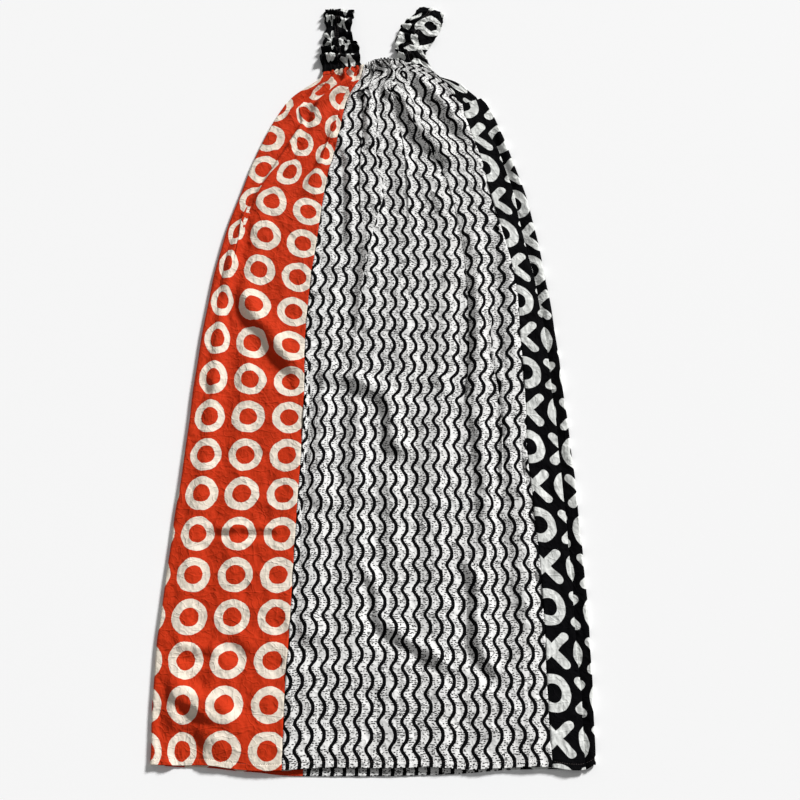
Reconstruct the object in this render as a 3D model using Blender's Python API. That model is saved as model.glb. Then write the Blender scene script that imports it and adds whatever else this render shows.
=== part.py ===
"""A gathered maxi dress in three wax prints, laid flat on its back.

Sizes are millimetres: x runs from left to right as the dress is seen from above, y from the hem to
the straps and z up from the surface. The front layer lies on the back layer. Each side panel wraps
round its fold, so no side seam is cut.
"""

import math
from collections import namedtuple

import bpy
import numpy as np

MM = 0.001
WALL = 1.2
SEAM_GAP = 0.3
BACK_HEIGHT = WALL / 2
FRONT_REST = 6.0
FRONT_LOWEST = 2.5
EDGE_HEIGHT = 7.6
EDGE_REACH = 32.0
EDGE_RADIUS = (EDGE_HEIGHT - BACK_HEIGHT) / 2
# The middle of the laid dress, which is put at the origin.
MIDDLE_X = 0.15
MIDDLE_Y = 694.54
LEFT_ARMHOLE = 1171.0
RIGHT_ARMHOLE = 1183.0
TOP_OF_EDGE = 1240.0
HEM_OF_EDGE = 16.0
RIDGE = 0.5
SHARP_ANGLE = 50

# Slight waves all over the front layer: their height and their reach across and along.
UNEVEN = [(0.7, 47.0, 83.0), (0.5, 29.0, 61.0)]
FLOOR_EASE = 0.9

# The garment's edges and front seams, by height above the hem.
OUTLINE_COLUMNS = "y left_fold left_seam right_seam pleat right_fold"
OUTLINE = [
    (0, -332, -135, 269, 317, 332),
    (110, -335, -135, 266, 317, 335),
    (210, -334, -131, 266, 313, 335),
    (310, -327, -128, 263, 311, 332),
    (410, -319, -125, 256, 306, 328),
    (510, -311, -121, 249, 301, 321),
    (610, -304, -119, 250, 295, 314),
    (710, -296, -120, 245, 288, 305),
    (810, -283, -114, 241, 275, 294),
    (910, -264, -103, 221, 256, 279),
    (1010, -235, -91, 197, 238, 257),
    (1060, -219, -81, 186, 224, 242),
    (1110, -200, -70, 170, 208, 226),
    (1160, -176, -62, 157, 193, 206),
    (1185, -161, -56, 153, 186, 191),
    (1205, -138, -47, 151, 166, 171),
    (1225, -112, -34, 150, 146, 148),
    (1240, -104, -29, 149, 106, 108),
    (1260, -100, -26, 148, 80, 82),
]

# The two seams of the back layer, which are straight.
BACK_COLUMNS = "y left_seam right_seam"
BACK_SEAMS = [(0, -104, 202), (1260, -34, 82)]

# The lower edge of each layer and the upper edge, by x.
HEM_COLUMNS = "x front back"
HEMS = [
    (-332, 16, 16),
    (-290, 15, 13),
    (-248, 15, 12),
    (-200, 9, 7),
    (-171, 7, 5),
    (-135, 8, 1),
    (-92, 11, 0),
    (23, 11, 0),
    (99, 12, 2),
    (142, 9, 4),
    (190, 11, 8),
    (268, 12, 10),
    (300, 8, 10),
    (317, 9, 12),
    (332, 16, 16),
]
TOP_COLUMNS = "x y"
FRONT_TOP = [
    (-104, 1240),
    (-61, 1248),
    (-28, 1257),
    (-12, 1265),
    (6, 1270),
    (26, 1271),
    (42, 1267),
    (62, 1260),
    (82, 1251),
    (104, 1241),
    (118, 1227),
    (134, 1205),
    (150, 1172),
    (157, 1171),
    (175, 1176),
    (191, 1183),
]
BACK_TOP = [(-104, 1240), (-60, 1246), (-28, 1252), (5, 1256), (34, 1255), (82, 1248), (108, 1240)]

# A fold is a path over the front layer. Its rise lifts the right side and sinks the left by that height.
# Its crest lifts the path itself, or sinks it where negative. Width is from the path to the crest.
# Each end of a fold fades over a share of its length, or over a fixed stretch if that is shorter.
FOLD_FADE_SHARE = 0.35
FOLD_FADE = 60.0
Fold = namedtuple("Fold", "name width rise crest path")
FOLDS = [
    Fold("neck_left", 10, 2.5, 0, [(-42, 1222), (-60, 1149)]),
    Fold("bust_left", 8, 2.5, -1.5, [(-18, 1205), (-25, 1138), (-18, 1060)]),
    Fold("bust_middle", 9, 0, -1.5, [(30, 1160), (23, 1040), (23, 900)]),
    Fold("neck_swag_low", 15, 5.2, 0, [(14, 1240), (41, 1170), (72, 1115), (122, 1080), (186, 1034)]),
    Fold("neck_swag_high", 12, 4.6, 0, [(42, 1255), (78, 1198), (123, 1155), (159, 1120), (182, 1070)]),
    Fold("swag_crest", 13, 0, 3.0, [(52, 1190), (98, 1152), (140, 1118)]),
    Fold("seam_drop_left", 11, 3.0, -1.0, [(-86, 1113), (-60, 1034), (-55, 844)]),
    Fold("waist_left", 15, 3.6, -0.5, [(-26, 935), (-33, 777), (-36, 740), (-1, 700)]),
    Fold("long_right_high", 12, 3.4, -1.0, [(162, 830), (159, 685), (146, 565)]),
    Fold("long_right_low", 12, 3.4, -1.0, [(150, 590), (164, 515), (170, 407), (158, 335)]),
    Fold("knife_right", 6, 1.6, 0, [(201, 796), (193, 696), (206, 610), (208, 503), (193, 400)]),
    Fold("hip_swag", 17, 4.2, 0, [(-122, 633), (-51, 622), (8, 590), (20, 520), (74, 480)]),
    Fold("left_dimple", 14, 2.4, 0, [(-112, 430), (-55, 395)]),
    Fold("low_swag", 14, 4.6, 0.5, [(-46, 320), (-6, 285), (4, 228), (41, 200), (87, 172), (128, 138)]),
    Fold("low_right", 15, 4.0, -0.5, [(121, 335), (151, 290), (150, 220), (166, 168), (212, 118)]),
    Fold("hem_right", 14, -3.2, 0, [(256, 150), (226, 114), (215, 78), (178, 30)]),
    Fold("hem_left", 20, -2.4, -0.5, [(-2, 162), (-65, 102), (-112, 58)]),
    Fold("cross_left", 16, 2.2, -0.8, [(-126, 200), (-60, 186)]),
    Fold("orange_overlap", 8, 5.0, 1.0, [(-126, 1160), (-150, 1108), (-206, 1000), (-232, 945)]),
    Fold("orange_strand_high", 8, 2.4, 1.5, [(-40, 1243), (-97, 1190), (-150, 1160)]),
    Fold("orange_valley_high", 7, 0, -2.6, [(-52, 1241), (-110, 1199), (-160, 1160)]),
    Fold("orange_crease", 8, 2.2, 0, [(-236, 935), (-252, 873), (-264, 815)]),
    Fold("orange_swag", 15, 5.4, 0, [(-262, 822), (-233, 764), (-193, 712), (-170, 676), (-122, 618)]),
    Fold("orange_edge_dent", 8, 2.4, -1.0, [(-300, 650), (-266, 598)]),
    Fold("orange_press_high", 7, 0, -1.6, [(-300, 497), (-165, 495)]),
    Fold("orange_press_low", 6, 2.6, -0.5, [(-296, 372), (-127, 370)]),
    Fold("orange_dent_low", 9, 2.4, -0.8, [(-322, 187), (-262, 178), (-224, 190)]),
    Fold("orange_hip_low", 12, 2.4, 0, [(-232, 206), (-182, 172)]),
    Fold("orange_corner", 12, 5.0, 1.2, [(-330, 140), (-282, 102), (-222, 74), (-206, 50)]),
]

# Neck gathers: how many lie up to each place t across a panel's upper edge.
GATHER_COLUMNS = "t count"
CENTRE_GATHERS = [(0.0, 0), (0.36, 19), (0.74, 29), (1.0, 37)]
SIDE_GATHERS = [(0.0, 0), (1.0, 8)]
BACK_GATHERS = [(0.0, 0), (1.0, 26)]
GATHER_ENDS = 0.04
# Fine gathers join into wider ones further down: their share of the count, height and reach.
GATHER_WAVES = [(1, 0.9, 26.0), (0.5, 1.2, 70.0), (0.23, 1.5, 170.0)]
GATHER_DRIFT = (0.5, 1.7)

# Rows of a gathered panel: the distance below its upper edge and the spaces across.
GATHERED_ROWS = [(0, 148), (9, 148), (20, 148), (38, 74), (62, 56), (96, 46), (140, 40)]
BACK_ROWS = [(1245, 8), (120, 8), (46, 104), (22, 104), (0, 104)]
BACK_RIDGES_END = 40
PANEL_LENGTH = 1245.0
PLAIN_SPACES = 36
# Plain rows lie closer where folds cross the panels on a slant: the share of the rows below a height.
PLAIN_ROWS = 26
ROW_PLACES = [(0, 0), (0.42, 560), (0.77, 840), (1, 1105)]
ORANGE_SPACES = 16
ORANGE_GATHERED_SPACES = 32
ORANGE_GATHERS_START = 0.96
ARC_SPACES = 5
BACK_SPACES = 4
BLACK_BACK_ROWS = (1204, 1222, TOP_OF_EDGE)

# The lengthwise pleat of the black panel.
PLEAT_DEPTH = 18.0
PLEAT_LAYER = 1.9
PLEAT_FADES = (990.0, 850.0)
PLEAT_ARC_SPACES = 4
PLEAT_TUCK = 2.0

# Straps: the left edge, the gathered middle line and the right edge, from the neck to the top fold.
STRAP_COLUMNS = "place left_x left_y line_x line_y right_x right_y"
LEFT_STRAP = [
    (0, -102, 1241, -66, 1247, -30, 1257),
    (1, -107, 1268, -72, 1270, -34, 1273),
    (2, -107, 1286, -74, 1286, -34, 1288),
    (3, -103, 1303, -76, 1304, -39, 1304),
    (4, -100, 1325, -78, 1325, -50, 1323),
    (5, -100, 1348, -77, 1348, -50, 1346),
    (6, -103, 1368, -76, 1368, -47, 1367),
    (7, -101, 1380, -75, 1381, -46, 1378),
]
RIGHT_STRAP = [
    (0, 35, 1269, 66, 1259, 103, 1243),
    (1, 34, 1284, 58, 1278, 93, 1264),
    (2, 32, 1304, 58, 1298, 89, 1281),
    (3, 38, 1327, 68, 1318, 100, 1303),
    (4, 45, 1347, 76, 1342, 113, 1325),
    (5, 61, 1364, 87, 1362, 121, 1347),
    (6, 78, 1386, 101, 1383, 123, 1369),
]
STRAP_HEIGHT = 7.2
STRAP_SPACES = 6
STRAP_END_SPACES = 24
STRAP_BACK_SHARE = 0.9
RUFFLES = 11
RUFFLE_AT_LINE = 0.5
RUFFLE_AT_EDGE = 2.6
RUFFLE_SCALLOP = 1.6
RUFFLE_LAG = 0.9
RUFFLE_DRIFT = (0.4, 0.31)
ROWS_PER_RUFFLE = 4
STRAP_FOLD_REACH = 0.3
STRAP_FOLD_ANGLES = (60, 20, -20, -60)
STRAP_BACK_ROWS = 8

COLOURS = {
    "front_centre_panel": (0.80, 0.80, 0.79),
    "back_centre_panel": (0.74, 0.74, 0.73),
    "orange_side_panel": (0.78, 0.06, 0.012),
    "black_side_panel": (0.006, 0.006, 0.007),
    "left_strap": (0.02, 0.02, 0.02),
    "right_strap": (0.03, 0.03, 0.03),
}
COTTON_ROUGHNESS = 0.82


def smooth_step(value):
    value = np.clip(value, 0.0, 1.0)
    return value * value * (3 - 2 * value)


def mix(a, b, share):
    return a + (b - a) * share


def smooth_curve(at, values):
    """A function through the points (at, value) with no corner at them."""
    at = np.array(at, float)
    values = np.array(values, float)
    slopes = np.gradient(values, at)

    def curve(x):
        x = np.clip(np.asarray(x, float), at[0], at[-1])
        i = np.clip(np.searchsorted(at, x, side="right") - 1, 0, len(at) - 2)
        span = at[i + 1] - at[i]
        f = (x - at[i]) / span
        rise = values[i + 1] - values[i]
        bend = f * (1 - f) * (slopes[i] * span * (1 - f) - slopes[i + 1] * span * f)
        return values[i] + rise * smooth_step(f) + bend

    return curve


def columns(table, names):
    """One smooth curve for each named column after the first, which says where."""
    names = names.split()
    rows = np.array(table, float)
    return {name: smooth_curve(rows[:, 0], rows[:, i]) for i, name in enumerate(names) if i}


EDGES = columns(OUTLINE, OUTLINE_COLUMNS)
BACK = columns(BACK_SEAMS, BACK_COLUMNS)
HEM = columns(HEMS, HEM_COLUMNS)
FRONT_TOP_Y = columns(FRONT_TOP, TOP_COLUMNS)["y"]
BACK_TOP_Y = columns(BACK_TOP, TOP_COLUMNS)["y"]


def rounded_path(path, pieces=5):
    """The path again with its corners rounded, as points close together."""
    points = np.array(path, float)
    index = np.arange(len(points))
    fine = np.linspace(0, len(points) - 1, pieces * (len(points) - 1) + 1)
    return np.stack([smooth_curve(index, points[:, k])(fine) for k in (0, 1)], axis=1)


def beside_path(x, y, path):
    """For each point its signed distance from the path, and how far along the path it lies in mm."""
    best = np.full(x.shape, np.inf)
    side = np.zeros(x.shape)
    along = np.zeros(x.shape)
    start = 0.0
    for (ax, ay), (bx, by) in zip(path[:-1], path[1:]):
        dx, dy = bx - ax, by - ay
        length = math.hypot(dx, dy)
        f = np.clip(((x - ax) * dx + (y - ay) * dy) / length**2, 0, 1)
        off_x, off_y = x - ax - f * dx, y - ay - f * dy
        distance = np.hypot(off_x, off_y)
        closer = distance < best
        best = np.where(closer, distance, best)
        side = np.where(closer, np.sign(dx * off_y - dy * off_x), side)
        along = np.where(closer, start + f * length, along)
        start += length
    return best * side, along, start


def fold_height(x, y):
    total = np.zeros(np.shape(x))
    for fold in FOLDS:
        away, along, length = beside_path(x, y, rounded_path(fold.path))
        taper = min(FOLD_FADE_SHARE * length, FOLD_FADE)
        fade = smooth_step(along / taper) * smooth_step((length - along) / taper)
        ratio = away / fold.width
        bell = np.exp(-0.5 * ratio**2)
        total = total + fade * bell * (fold.rise * ratio * math.exp(0.5) + fold.crest)
    return total


def soft_floor(height, lowest):
    """Cloth that would dip below the lowest height lies flat on the layer under it instead."""
    return lowest + FLOOR_EASE * np.logaddexp(0, (height - lowest) / FLOOR_EASE)


def unevenness(x, y):
    return sum(height * np.sin(x / across - y / along) for height, across, along in UNEVEN)


def front_height(x, y):
    """Height of the middle of the front layer's wall."""
    loose = FRONT_REST + unevenness(x, y) + fold_height(x, y)
    to_left = smooth_step((x - EDGES["left_fold"](y) - EDGE_RADIUS) / EDGE_REACH)
    to_right = smooth_step((EDGES["right_fold"](y) - EDGE_RADIUS - x) / EDGE_REACH)
    return soft_floor(mix(EDGE_HEIGHT, loose, to_left * to_right), FRONT_LOWEST)


def gather_height(t, below, gathers):
    """Gathers that run down from an edge: fine ones fade first and join into wider ones."""
    count = columns(gathers, GATHER_COLUMNS)["count"](t)
    ends = smooth_step(t / GATHER_ENDS) * smooth_step((1 - t) / GATHER_ENDS)
    drift, drift_rate = GATHER_DRIFT
    total = 0
    for share, height, fade in GATHER_WAVES:
        wave = np.sin(2 * math.pi * count * share + drift * np.sin(count * share * drift_rate))
        total = total + height * wave * np.exp(-((below / fade) ** 2))
    return total * ends


def stitch(rows):
    """Points and triangles of a strip of rows, each an array of points with their places from 0 to 1."""
    points = np.concatenate([row for row, _ in rows])
    triangles = []
    start = 0
    for (low, low_at), (high, high_at) in zip(rows[:-1], rows[1:]):
        triangles += between_rows(low_at, high_at, start, start + len(low))
        start += len(low)
    return points, triangles


def between_rows(low_at, high_at, low_start, high_start):
    triangles = []
    i = j = 0
    while i < len(low_at) - 1 or j < len(high_at) - 1:
        low_next = low_at[i + 1] if i < len(low_at) - 1 else 2
        high_next = high_at[j + 1] if j < len(high_at) - 1 else 2
        if low_next <= high_next:
            triangles.append((low_start + i, low_start + i + 1, high_start + j))
            i += 1
        else:
            triangles.append((low_start + i, high_start + j + 1, high_start + j))
            j += 1
    return triangles


def corner_normals(points, triangles):
    corners = points[np.array(triangles)]
    across = np.cross(corners[:, 1] - corners[:, 0], corners[:, 2] - corners[:, 0])
    normals = np.zeros_like(points)
    for k in range(3):
        np.add.at(normals, np.array(triangles)[:, k], across)
    return normals / np.linalg.norm(normals, axis=1)[:, None]


def open_edges(triangles):
    """Edges that one triangle uses, in that triangle's direction."""
    used = {}
    for a, b, c in triangles:
        for edge in ((a, b), (b, c), (c, a)):
            used[edge] = True
    return [(a, b) for a, b in used if (b, a) not in used]


def wall_mesh(name, points, triangles, upright=(), raised=None):
    """A closed wall around the middle surface. Upright points get straight end faces."""
    normals = corner_normals(points, triangles)
    for i in upright:
        normals[i] = (0, 0, math.copysign(1, normals[i][2]))
    outer = points + normals * WALL / 2
    inner = points - normals * (WALL / 2 + (0 if raised is None else raised[:, None]))
    count = len(points)
    faces = [tuple(face) for face in triangles]
    faces += [(c + count, b + count, a + count) for a, b, c in triangles]
    for a, b in open_edges(triangles):
        faces.append((b, a, a + count))
        faces.append((b, a + count, b + count))
    place = np.array([-MIDDLE_X, -MIDDLE_Y, 0.0])
    mesh = bpy.data.meshes.new(name)
    mesh.from_pydata(((np.concatenate([outer, inner]) + place) * MM).tolist(), [], faces)
    mesh.materials.append(cotton(name))
    mesh.validate()
    mesh.shade_smooth()
    mesh.set_sharp_from_angle(angle=math.radians(SHARP_ANGLE))
    made = bpy.data.objects.new(name, mesh)
    bpy.context.scene.collection.objects.link(made)
    return made


def cotton(name):
    material = bpy.data.materials.new(name + "_cotton")
    material.use_nodes = True
    surface = material.node_tree.nodes["Principled BSDF"]
    surface.inputs["Base Color"].default_value = (*COLOURS[name], 1)
    surface.inputs["Roughness"].default_value = COTTON_ROUGHNESS
    surface.inputs["Metallic"].default_value = 0.0
    return material


def panel_shares():
    """The rows that every front panel shares, as shares of the way from its hem to its upper edge."""
    gathered = [(1 - below / PANEL_LENGTH, spaces) for below, spaces in reversed(GATHERED_ROWS)]
    place, height = np.array(ROW_PLACES, float).T
    heights = np.interp(np.arange(PLAIN_ROWS) / PLAIN_ROWS, place, height)
    return [(y / PANEL_LENGTH, PLAIN_SPACES) for y in heights] + gathered


def seam_points(which, t, share_up):
    """The points at places t between the seams of the front or the back layer's centre panel."""
    if which == "front":
        left, right, hem, top = EDGES["left_seam"], EDGES["right_seam"], HEM["front"], FRONT_TOP_Y
    else:
        left, right, hem, top = BACK["left_seam"], BACK["right_seam"], HEM["back"], BACK_TOP_Y
    lowest = hem(mix(left(0), right(0), t))
    highest = top(t * 0)
    for _ in range(20):
        highest = top(mix(left(highest), right(highest), t))
    y = mix(lowest, highest, share_up)
    x = mix(left(y) + SEAM_GAP / 2, right(y) - SEAM_GAP / 2, t)
    return x, y, highest - y


def seam_end(which, side, share_up):
    """Where a side panel ends at the seam: x and y, with the seam's gap taken off."""
    x, y, _ = seam_points(which, np.array([0.0 if side == "left" else 1.0]), share_up)
    gap = -SEAM_GAP if side == "left" else SEAM_GAP
    return float(x[0]) + gap, float(y[0])


def front_centre_panel():
    rows, upright = [], []
    count = 0
    for share_up, spaces in panel_shares():
        t = np.linspace(0, 1, spaces + 1)
        x, y, below = seam_points("front", t, share_up)
        z = front_height(x, y) + gather_height(t, below, CENTRE_GATHERS)
        rows.append((np.stack([x, y, soft_floor(z, FRONT_LOWEST)], axis=1), t))
        upright += [count, count + spaces]
        count += spaces + 1
    upright += list(range(PLAIN_SPACES + 1)) + list(range(count - spaces - 1, count))
    return wall_mesh("front_centre_panel", *stitch(rows), upright)


def back_centre_panel():
    """The lowest layer: flat underneath, with low ridges on top at the gathered neck."""
    rows, ridges = [], []
    for below, spaces in BACK_ROWS:
        share_up = 1 - below / PANEL_LENGTH
        t = np.linspace(0, 1, spaces + 1)
        x, y, down = seam_points("back", t, share_up)
        waves = gather_height(t, down, BACK_GATHERS)
        rows.append((np.stack([x, y, np.full(len(x), BACK_HEIGHT)], axis=1)[::-1], t))
        ridges.append((RIDGE * smooth_step(waves) * (below < BACK_RIDGES_END))[::-1])
    points, triangles = stitch(rows)
    return wall_mesh("back_centre_panel", points, triangles, range(len(points)), np.concatenate(ridges))


def arc(centre_x, centre_z, radius, first, last, spaces):
    """Points of an arc across the garment, without its first one."""
    angles = np.radians(np.linspace(first, last, spaces + 1)[1:])
    return np.stack([centre_x + radius * np.cos(angles), centre_z + radius * np.sin(angles)], axis=1)


def line(ax, az, bx, bz, spaces):
    """Points of an eased line across the garment, without its first one."""
    share = np.linspace(0, 1, spaces + 1)[1:]
    return np.stack([mix(ax, bx, share), mix(az, bz, smooth_step(share))], axis=1)


def pleated_section(y, seam, at_seam):
    """Section of the black panel's front, from its seam over the pleat to the right fold."""
    edge = float(EDGES["right_fold"](y)) - EDGE_RADIUS
    low = FRONT_LOWEST
    middle, high = low + PLEAT_LAYER, low + 2 * PLEAT_LAYER
    radius = PLEAT_LAYER / 2
    crease = float(EDGES["pleat"](y))
    under = crease - PLEAT_DEPTH
    stretches = [
        [(seam, at_seam)],
        line(seam, at_seam, crease - radius, high, 5),
        arc(crease - radius, high - radius, radius, 90, -90, PLEAT_ARC_SPACES),
        line(crease - radius, middle, under + radius, middle, 1),
        arc(under + radius, middle - radius, radius, 90, 270, PLEAT_ARC_SPACES),
        line(under + radius, low, crease - PLEAT_TUCK, low, 1),
        line(crease - PLEAT_TUCK, low, edge, EDGE_HEIGHT, 3),
    ]
    pleated = np.concatenate(stretches)
    share = np.linspace(0, 1, len(pleated))
    plain = np.stack([mix(seam, edge, share), mix(at_seam, EDGE_HEIGHT, smooth_step(share))], axis=1)
    fades_out, full = PLEAT_FADES
    return mix(plain, pleated, smooth_step((fades_out - y) / (fades_out - full)))


def near_top(share_up):
    """One at the upper edge and nothing below the last twentieth of the panel."""
    return smooth_step(20 * share_up - 19)


def fold_arc(side, edge_y, first, last):
    """The rounded edge where a side panel turns from one layer to the other, without its ends."""
    radius = EDGE_RADIUS
    inward = radius if side == "left" else -radius
    centre = float(EDGES[side + "_fold"](edge_y)) + inward
    section = arc(centre, BACK_HEIGHT + radius, radius, first, last, ARC_SPACES)[:-1]
    return np.stack([section[:, 0], np.full(len(section), edge_y), section[:, 1]], axis=1)


def back_stretch(side, edge_y):
    """The part of a side panel that lies under the front layer, from its fold to its back seam."""
    share_up = (edge_y - HEM_OF_EDGE) / (TOP_OF_EDGE - HEM_OF_EDGE)
    inward = EDGE_RADIUS if side == "left" else -EDGE_RADIUS
    edge = float(EDGES[side + "_fold"](edge_y)) + inward
    seam_x, seam_y = seam_end("back", side, share_up)
    t = np.linspace(0, 1, BACK_SPACES + 1)
    x = mix(edge, seam_x, t)
    hem = HEM["back"](x) - mix(HEM_OF_EDGE, HEM["back"](seam_x), t)
    top = BACK_TOP_Y(x) - mix(TOP_OF_EDGE, BACK_TOP_Y(seam_x), t)
    y = mix(edge_y, seam_y, t) + hem * (1 - share_up) + top * near_top(share_up)
    return np.stack([x, y, np.full(len(t), BACK_HEIGHT)], axis=1)


def orange_front(edge_y, share_up, spaces):
    """The part of the orange panel that shows, from its fold to its front seam."""
    edge = float(EDGES["left_fold"](edge_y)) + EDGE_RADIUS
    seam_x, seam_y = seam_end("front", "left", share_up)
    t = np.linspace(0, 1, spaces + 1)
    x = mix(edge, seam_x, t)
    hem = HEM["front"](x) - mix(HEM_OF_EDGE, HEM["front"](seam_x), t)
    top = FRONT_TOP_Y(x) - mix(TOP_OF_EDGE, FRONT_TOP_Y(seam_x), t)
    y = mix(edge_y, seam_y, t) + hem * (1 - share_up) + top * near_top(share_up)
    waves = gather_height(t, TOP_OF_EDGE - edge_y, SIDE_GATHERS)
    return np.stack([x, y, soft_floor(front_height(x, y) + waves, FRONT_LOWEST)], axis=1)


def black_front(edge_y, share_up):
    """The part of the black panel that shows, from its front seam to its fold."""
    seam_x, seam_y = seam_end("front", "right", share_up)
    at_seam = float(front_height(np.array([seam_x]), np.array([seam_y]))[0])
    section = pleated_section(edge_y, seam_x, at_seam)
    x = section[:, 0]
    t = (x - seam_x) / (x[-1] - seam_x)
    hem = HEM["front"](x) - mix(HEM["front"](seam_x), HEM_OF_EDGE, t)
    y = mix(seam_y, edge_y, t) + hem * (1 - share_up)
    return np.stack([x, y, section[:, 1]], axis=1)


class Panel:
    """A side panel's middle surface, row by row, with the points whose end faces stand upright."""

    def __init__(self):
        self.points, self.triangles, self.upright = np.zeros((0, 3)), [], []
        self.last = None

    def add_row(self, row, onto=None):
        """Joins the row to the last one, or to the points named in onto, and returns its numbers."""
        numbers = np.arange(len(self.points), len(self.points) + len(row))
        below = self.last if onto is None else onto
        self.points = np.concatenate([self.points, row])
        if below is not None:
            both = np.concatenate([below, numbers])
            made = between_rows(
                np.linspace(0, 1, len(below)), np.linspace(0, 1, len(numbers)), 0, len(below)
            )
            self.triangles += [tuple(int(both[k]) for k in face) for face in made]
        self.upright += [int(numbers[0]), int(numbers[-1])]
        self.last = numbers
        return numbers


def orange_side_panel():
    panel = Panel()
    above = []
    for share_up, _ in panel_shares():
        edge_y = mix(HEM_OF_EDGE, TOP_OF_EDGE, share_up)
        if edge_y > LEFT_ARMHOLE:
            above.append((edge_y, share_up))
            continue
        back = back_stretch("left", edge_y)[::-1]
        front = orange_front(edge_y, share_up, ORANGE_SPACES)
        last = panel.add_row(np.concatenate([back, fold_arc("left", edge_y, 270, 90), front]))
    for stretch in ("front", "back"):
        panel.last = last[-ORANGE_SPACES - 1 :] if stretch == "front" else last[: BACK_SPACES + 1]
        for edge_y, share_up in above:
            if stretch == "front":
                spaces = ORANGE_GATHERED_SPACES if share_up > ORANGE_GATHERS_START else ORANGE_SPACES
                panel.add_row(orange_front(edge_y, share_up, spaces))
            else:
                panel.add_row(back_stretch("left", edge_y)[::-1])
        panel.upright += [int(k) for k in panel.last]
    return wall_mesh("orange_side_panel", panel.points, panel.triangles, panel.upright)


def black_side_panel():
    panel = Panel()
    for share_up, _ in panel_shares():
        edge_y = mix(HEM_OF_EDGE, RIGHT_ARMHOLE, share_up)
        front = black_front(edge_y, share_up)
        last = panel.add_row(
            np.concatenate([front, fold_arc("right", edge_y, 90, -90), back_stretch("right", edge_y)])
        )
    panel.upright += [int(k) for k in last[: len(front)]]
    panel.last = last[-BACK_SPACES - 1 :]
    for edge_y in BLACK_BACK_ROWS:
        panel.add_row(back_stretch("right", edge_y))
    panel.upright += [int(k) for k in panel.last]
    return wall_mesh("black_side_panel", panel.points, panel.triangles, panel.upright)


class StrapPlan:
    """Where a strap lies, from its table: its left edge, gathered line and right edge at each place."""

    def __init__(self, table):
        self.end = table[-1][0]
        self.curves = columns(table, STRAP_COLUMNS)

    def point(self, which, at):
        return np.array([self.curves[which + "_x"](at), self.curves[which + "_y"](at)])

    def row(self, at, across, narrow=1.0):
        left, middle, right = [self.point(which, at) for which in ("left", "line", "right")]
        share = np.abs(across)[:, None] * narrow
        return np.where(across[:, None] < 0, mix(middle, left, share), mix(middle, right, share))

    def seated_row(self, across, narrow, edge, height):
        """The strap's end, which follows the neck edge that it is sewn to."""
        plan = self.row(0, across, narrow)
        plan[:, 1] = edge(plan[:, 0]) + SEAM_GAP
        return np.column_stack([plan, np.full(len(across), height)])


def strap(name, table):
    """A strip gathered along its middle: up from the front neck, over a soft fold and down behind."""
    plan = StrapPlan(table)
    across = np.linspace(-1, 1, STRAP_SPACES + 1)
    at_seam = np.linspace(-1, 1, STRAP_END_SPACES + 1)
    rows = [(plan.seated_row(at_seam, 1.0, FRONT_TOP_Y, STRAP_HEIGHT), at_seam)]
    drift, drift_rate = RUFFLE_DRIFT
    for at in np.linspace(0, plan.end, ROWS_PER_RUFFLE * RUFFLES + 1)[1:]:
        turn = 2 * math.pi * RUFFLES * at / plan.end
        phase = turn + np.where(across < 0, RUFFLE_LAG, 0) + drift * np.sin(turn * drift_rate)
        height = mix(RUFFLE_AT_LINE, RUFFLE_AT_EDGE, np.abs(across)) * np.sin(phase)
        row = plan.row(at, across)
        row[:, 0] += RUFFLE_SCALLOP * across * np.sin(phase)
        rows.append((np.column_stack([row, STRAP_HEIGHT + height]), across))
    radius = (STRAP_HEIGHT - BACK_HEIGHT) / 2
    top, before = plan.row(plan.end, across), plan.row(plan.end - STRAP_FOLD_REACH, across)
    ahead = (top - before).mean(axis=0)
    ahead /= np.linalg.norm(ahead)
    for angle in np.radians(STRAP_FOLD_ANGLES):
        height = BACK_HEIGHT + radius + radius * math.sin(angle)
        row = top + ahead * radius * math.cos(angle)
        rows.append((np.column_stack([row, np.full(len(across), height)]), across))
    for at in np.linspace(plan.end, 0, STRAP_BACK_ROWS)[:-1]:
        row = plan.row(at, across, STRAP_BACK_SHARE)
        rows.append((np.column_stack([row, np.full(len(across), BACK_HEIGHT)]), across))
    rows.append((plan.seated_row(at_seam, STRAP_BACK_SHARE, BACK_TOP_Y, BACK_HEIGHT), at_seam))
    points, triangles = stitch(rows)
    first = list(range(len(at_seam)))
    last = list(range(len(points) - len(at_seam), len(points)))
    return wall_mesh(name, points, triangles, first + last)


def clear_scene():
    for thing in list(bpy.data.objects):
        bpy.data.objects.remove(thing, do_unlink=True)


clear_scene()
front_centre_panel()
back_centre_panel()
orange_side_panel()
black_side_panel()
strap("left_strap", LEFT_STRAP)
strap("right_strap", RIGHT_STRAP)
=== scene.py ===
"""The looks of the laid wax print dress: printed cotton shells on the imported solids.

Sizes are millimetres, in the part's own plan: x from left to right, y from the hem to the straps and
z up from the surface. They become metres round the frame's origin when a mesh is made. A print lies in
cloth coordinates, which are kept in metres in the UV map Cloth: across the cloth and along it.
"""

import math
from collections import namedtuple

import bpy
import numpy as np
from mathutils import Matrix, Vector, noise


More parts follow.
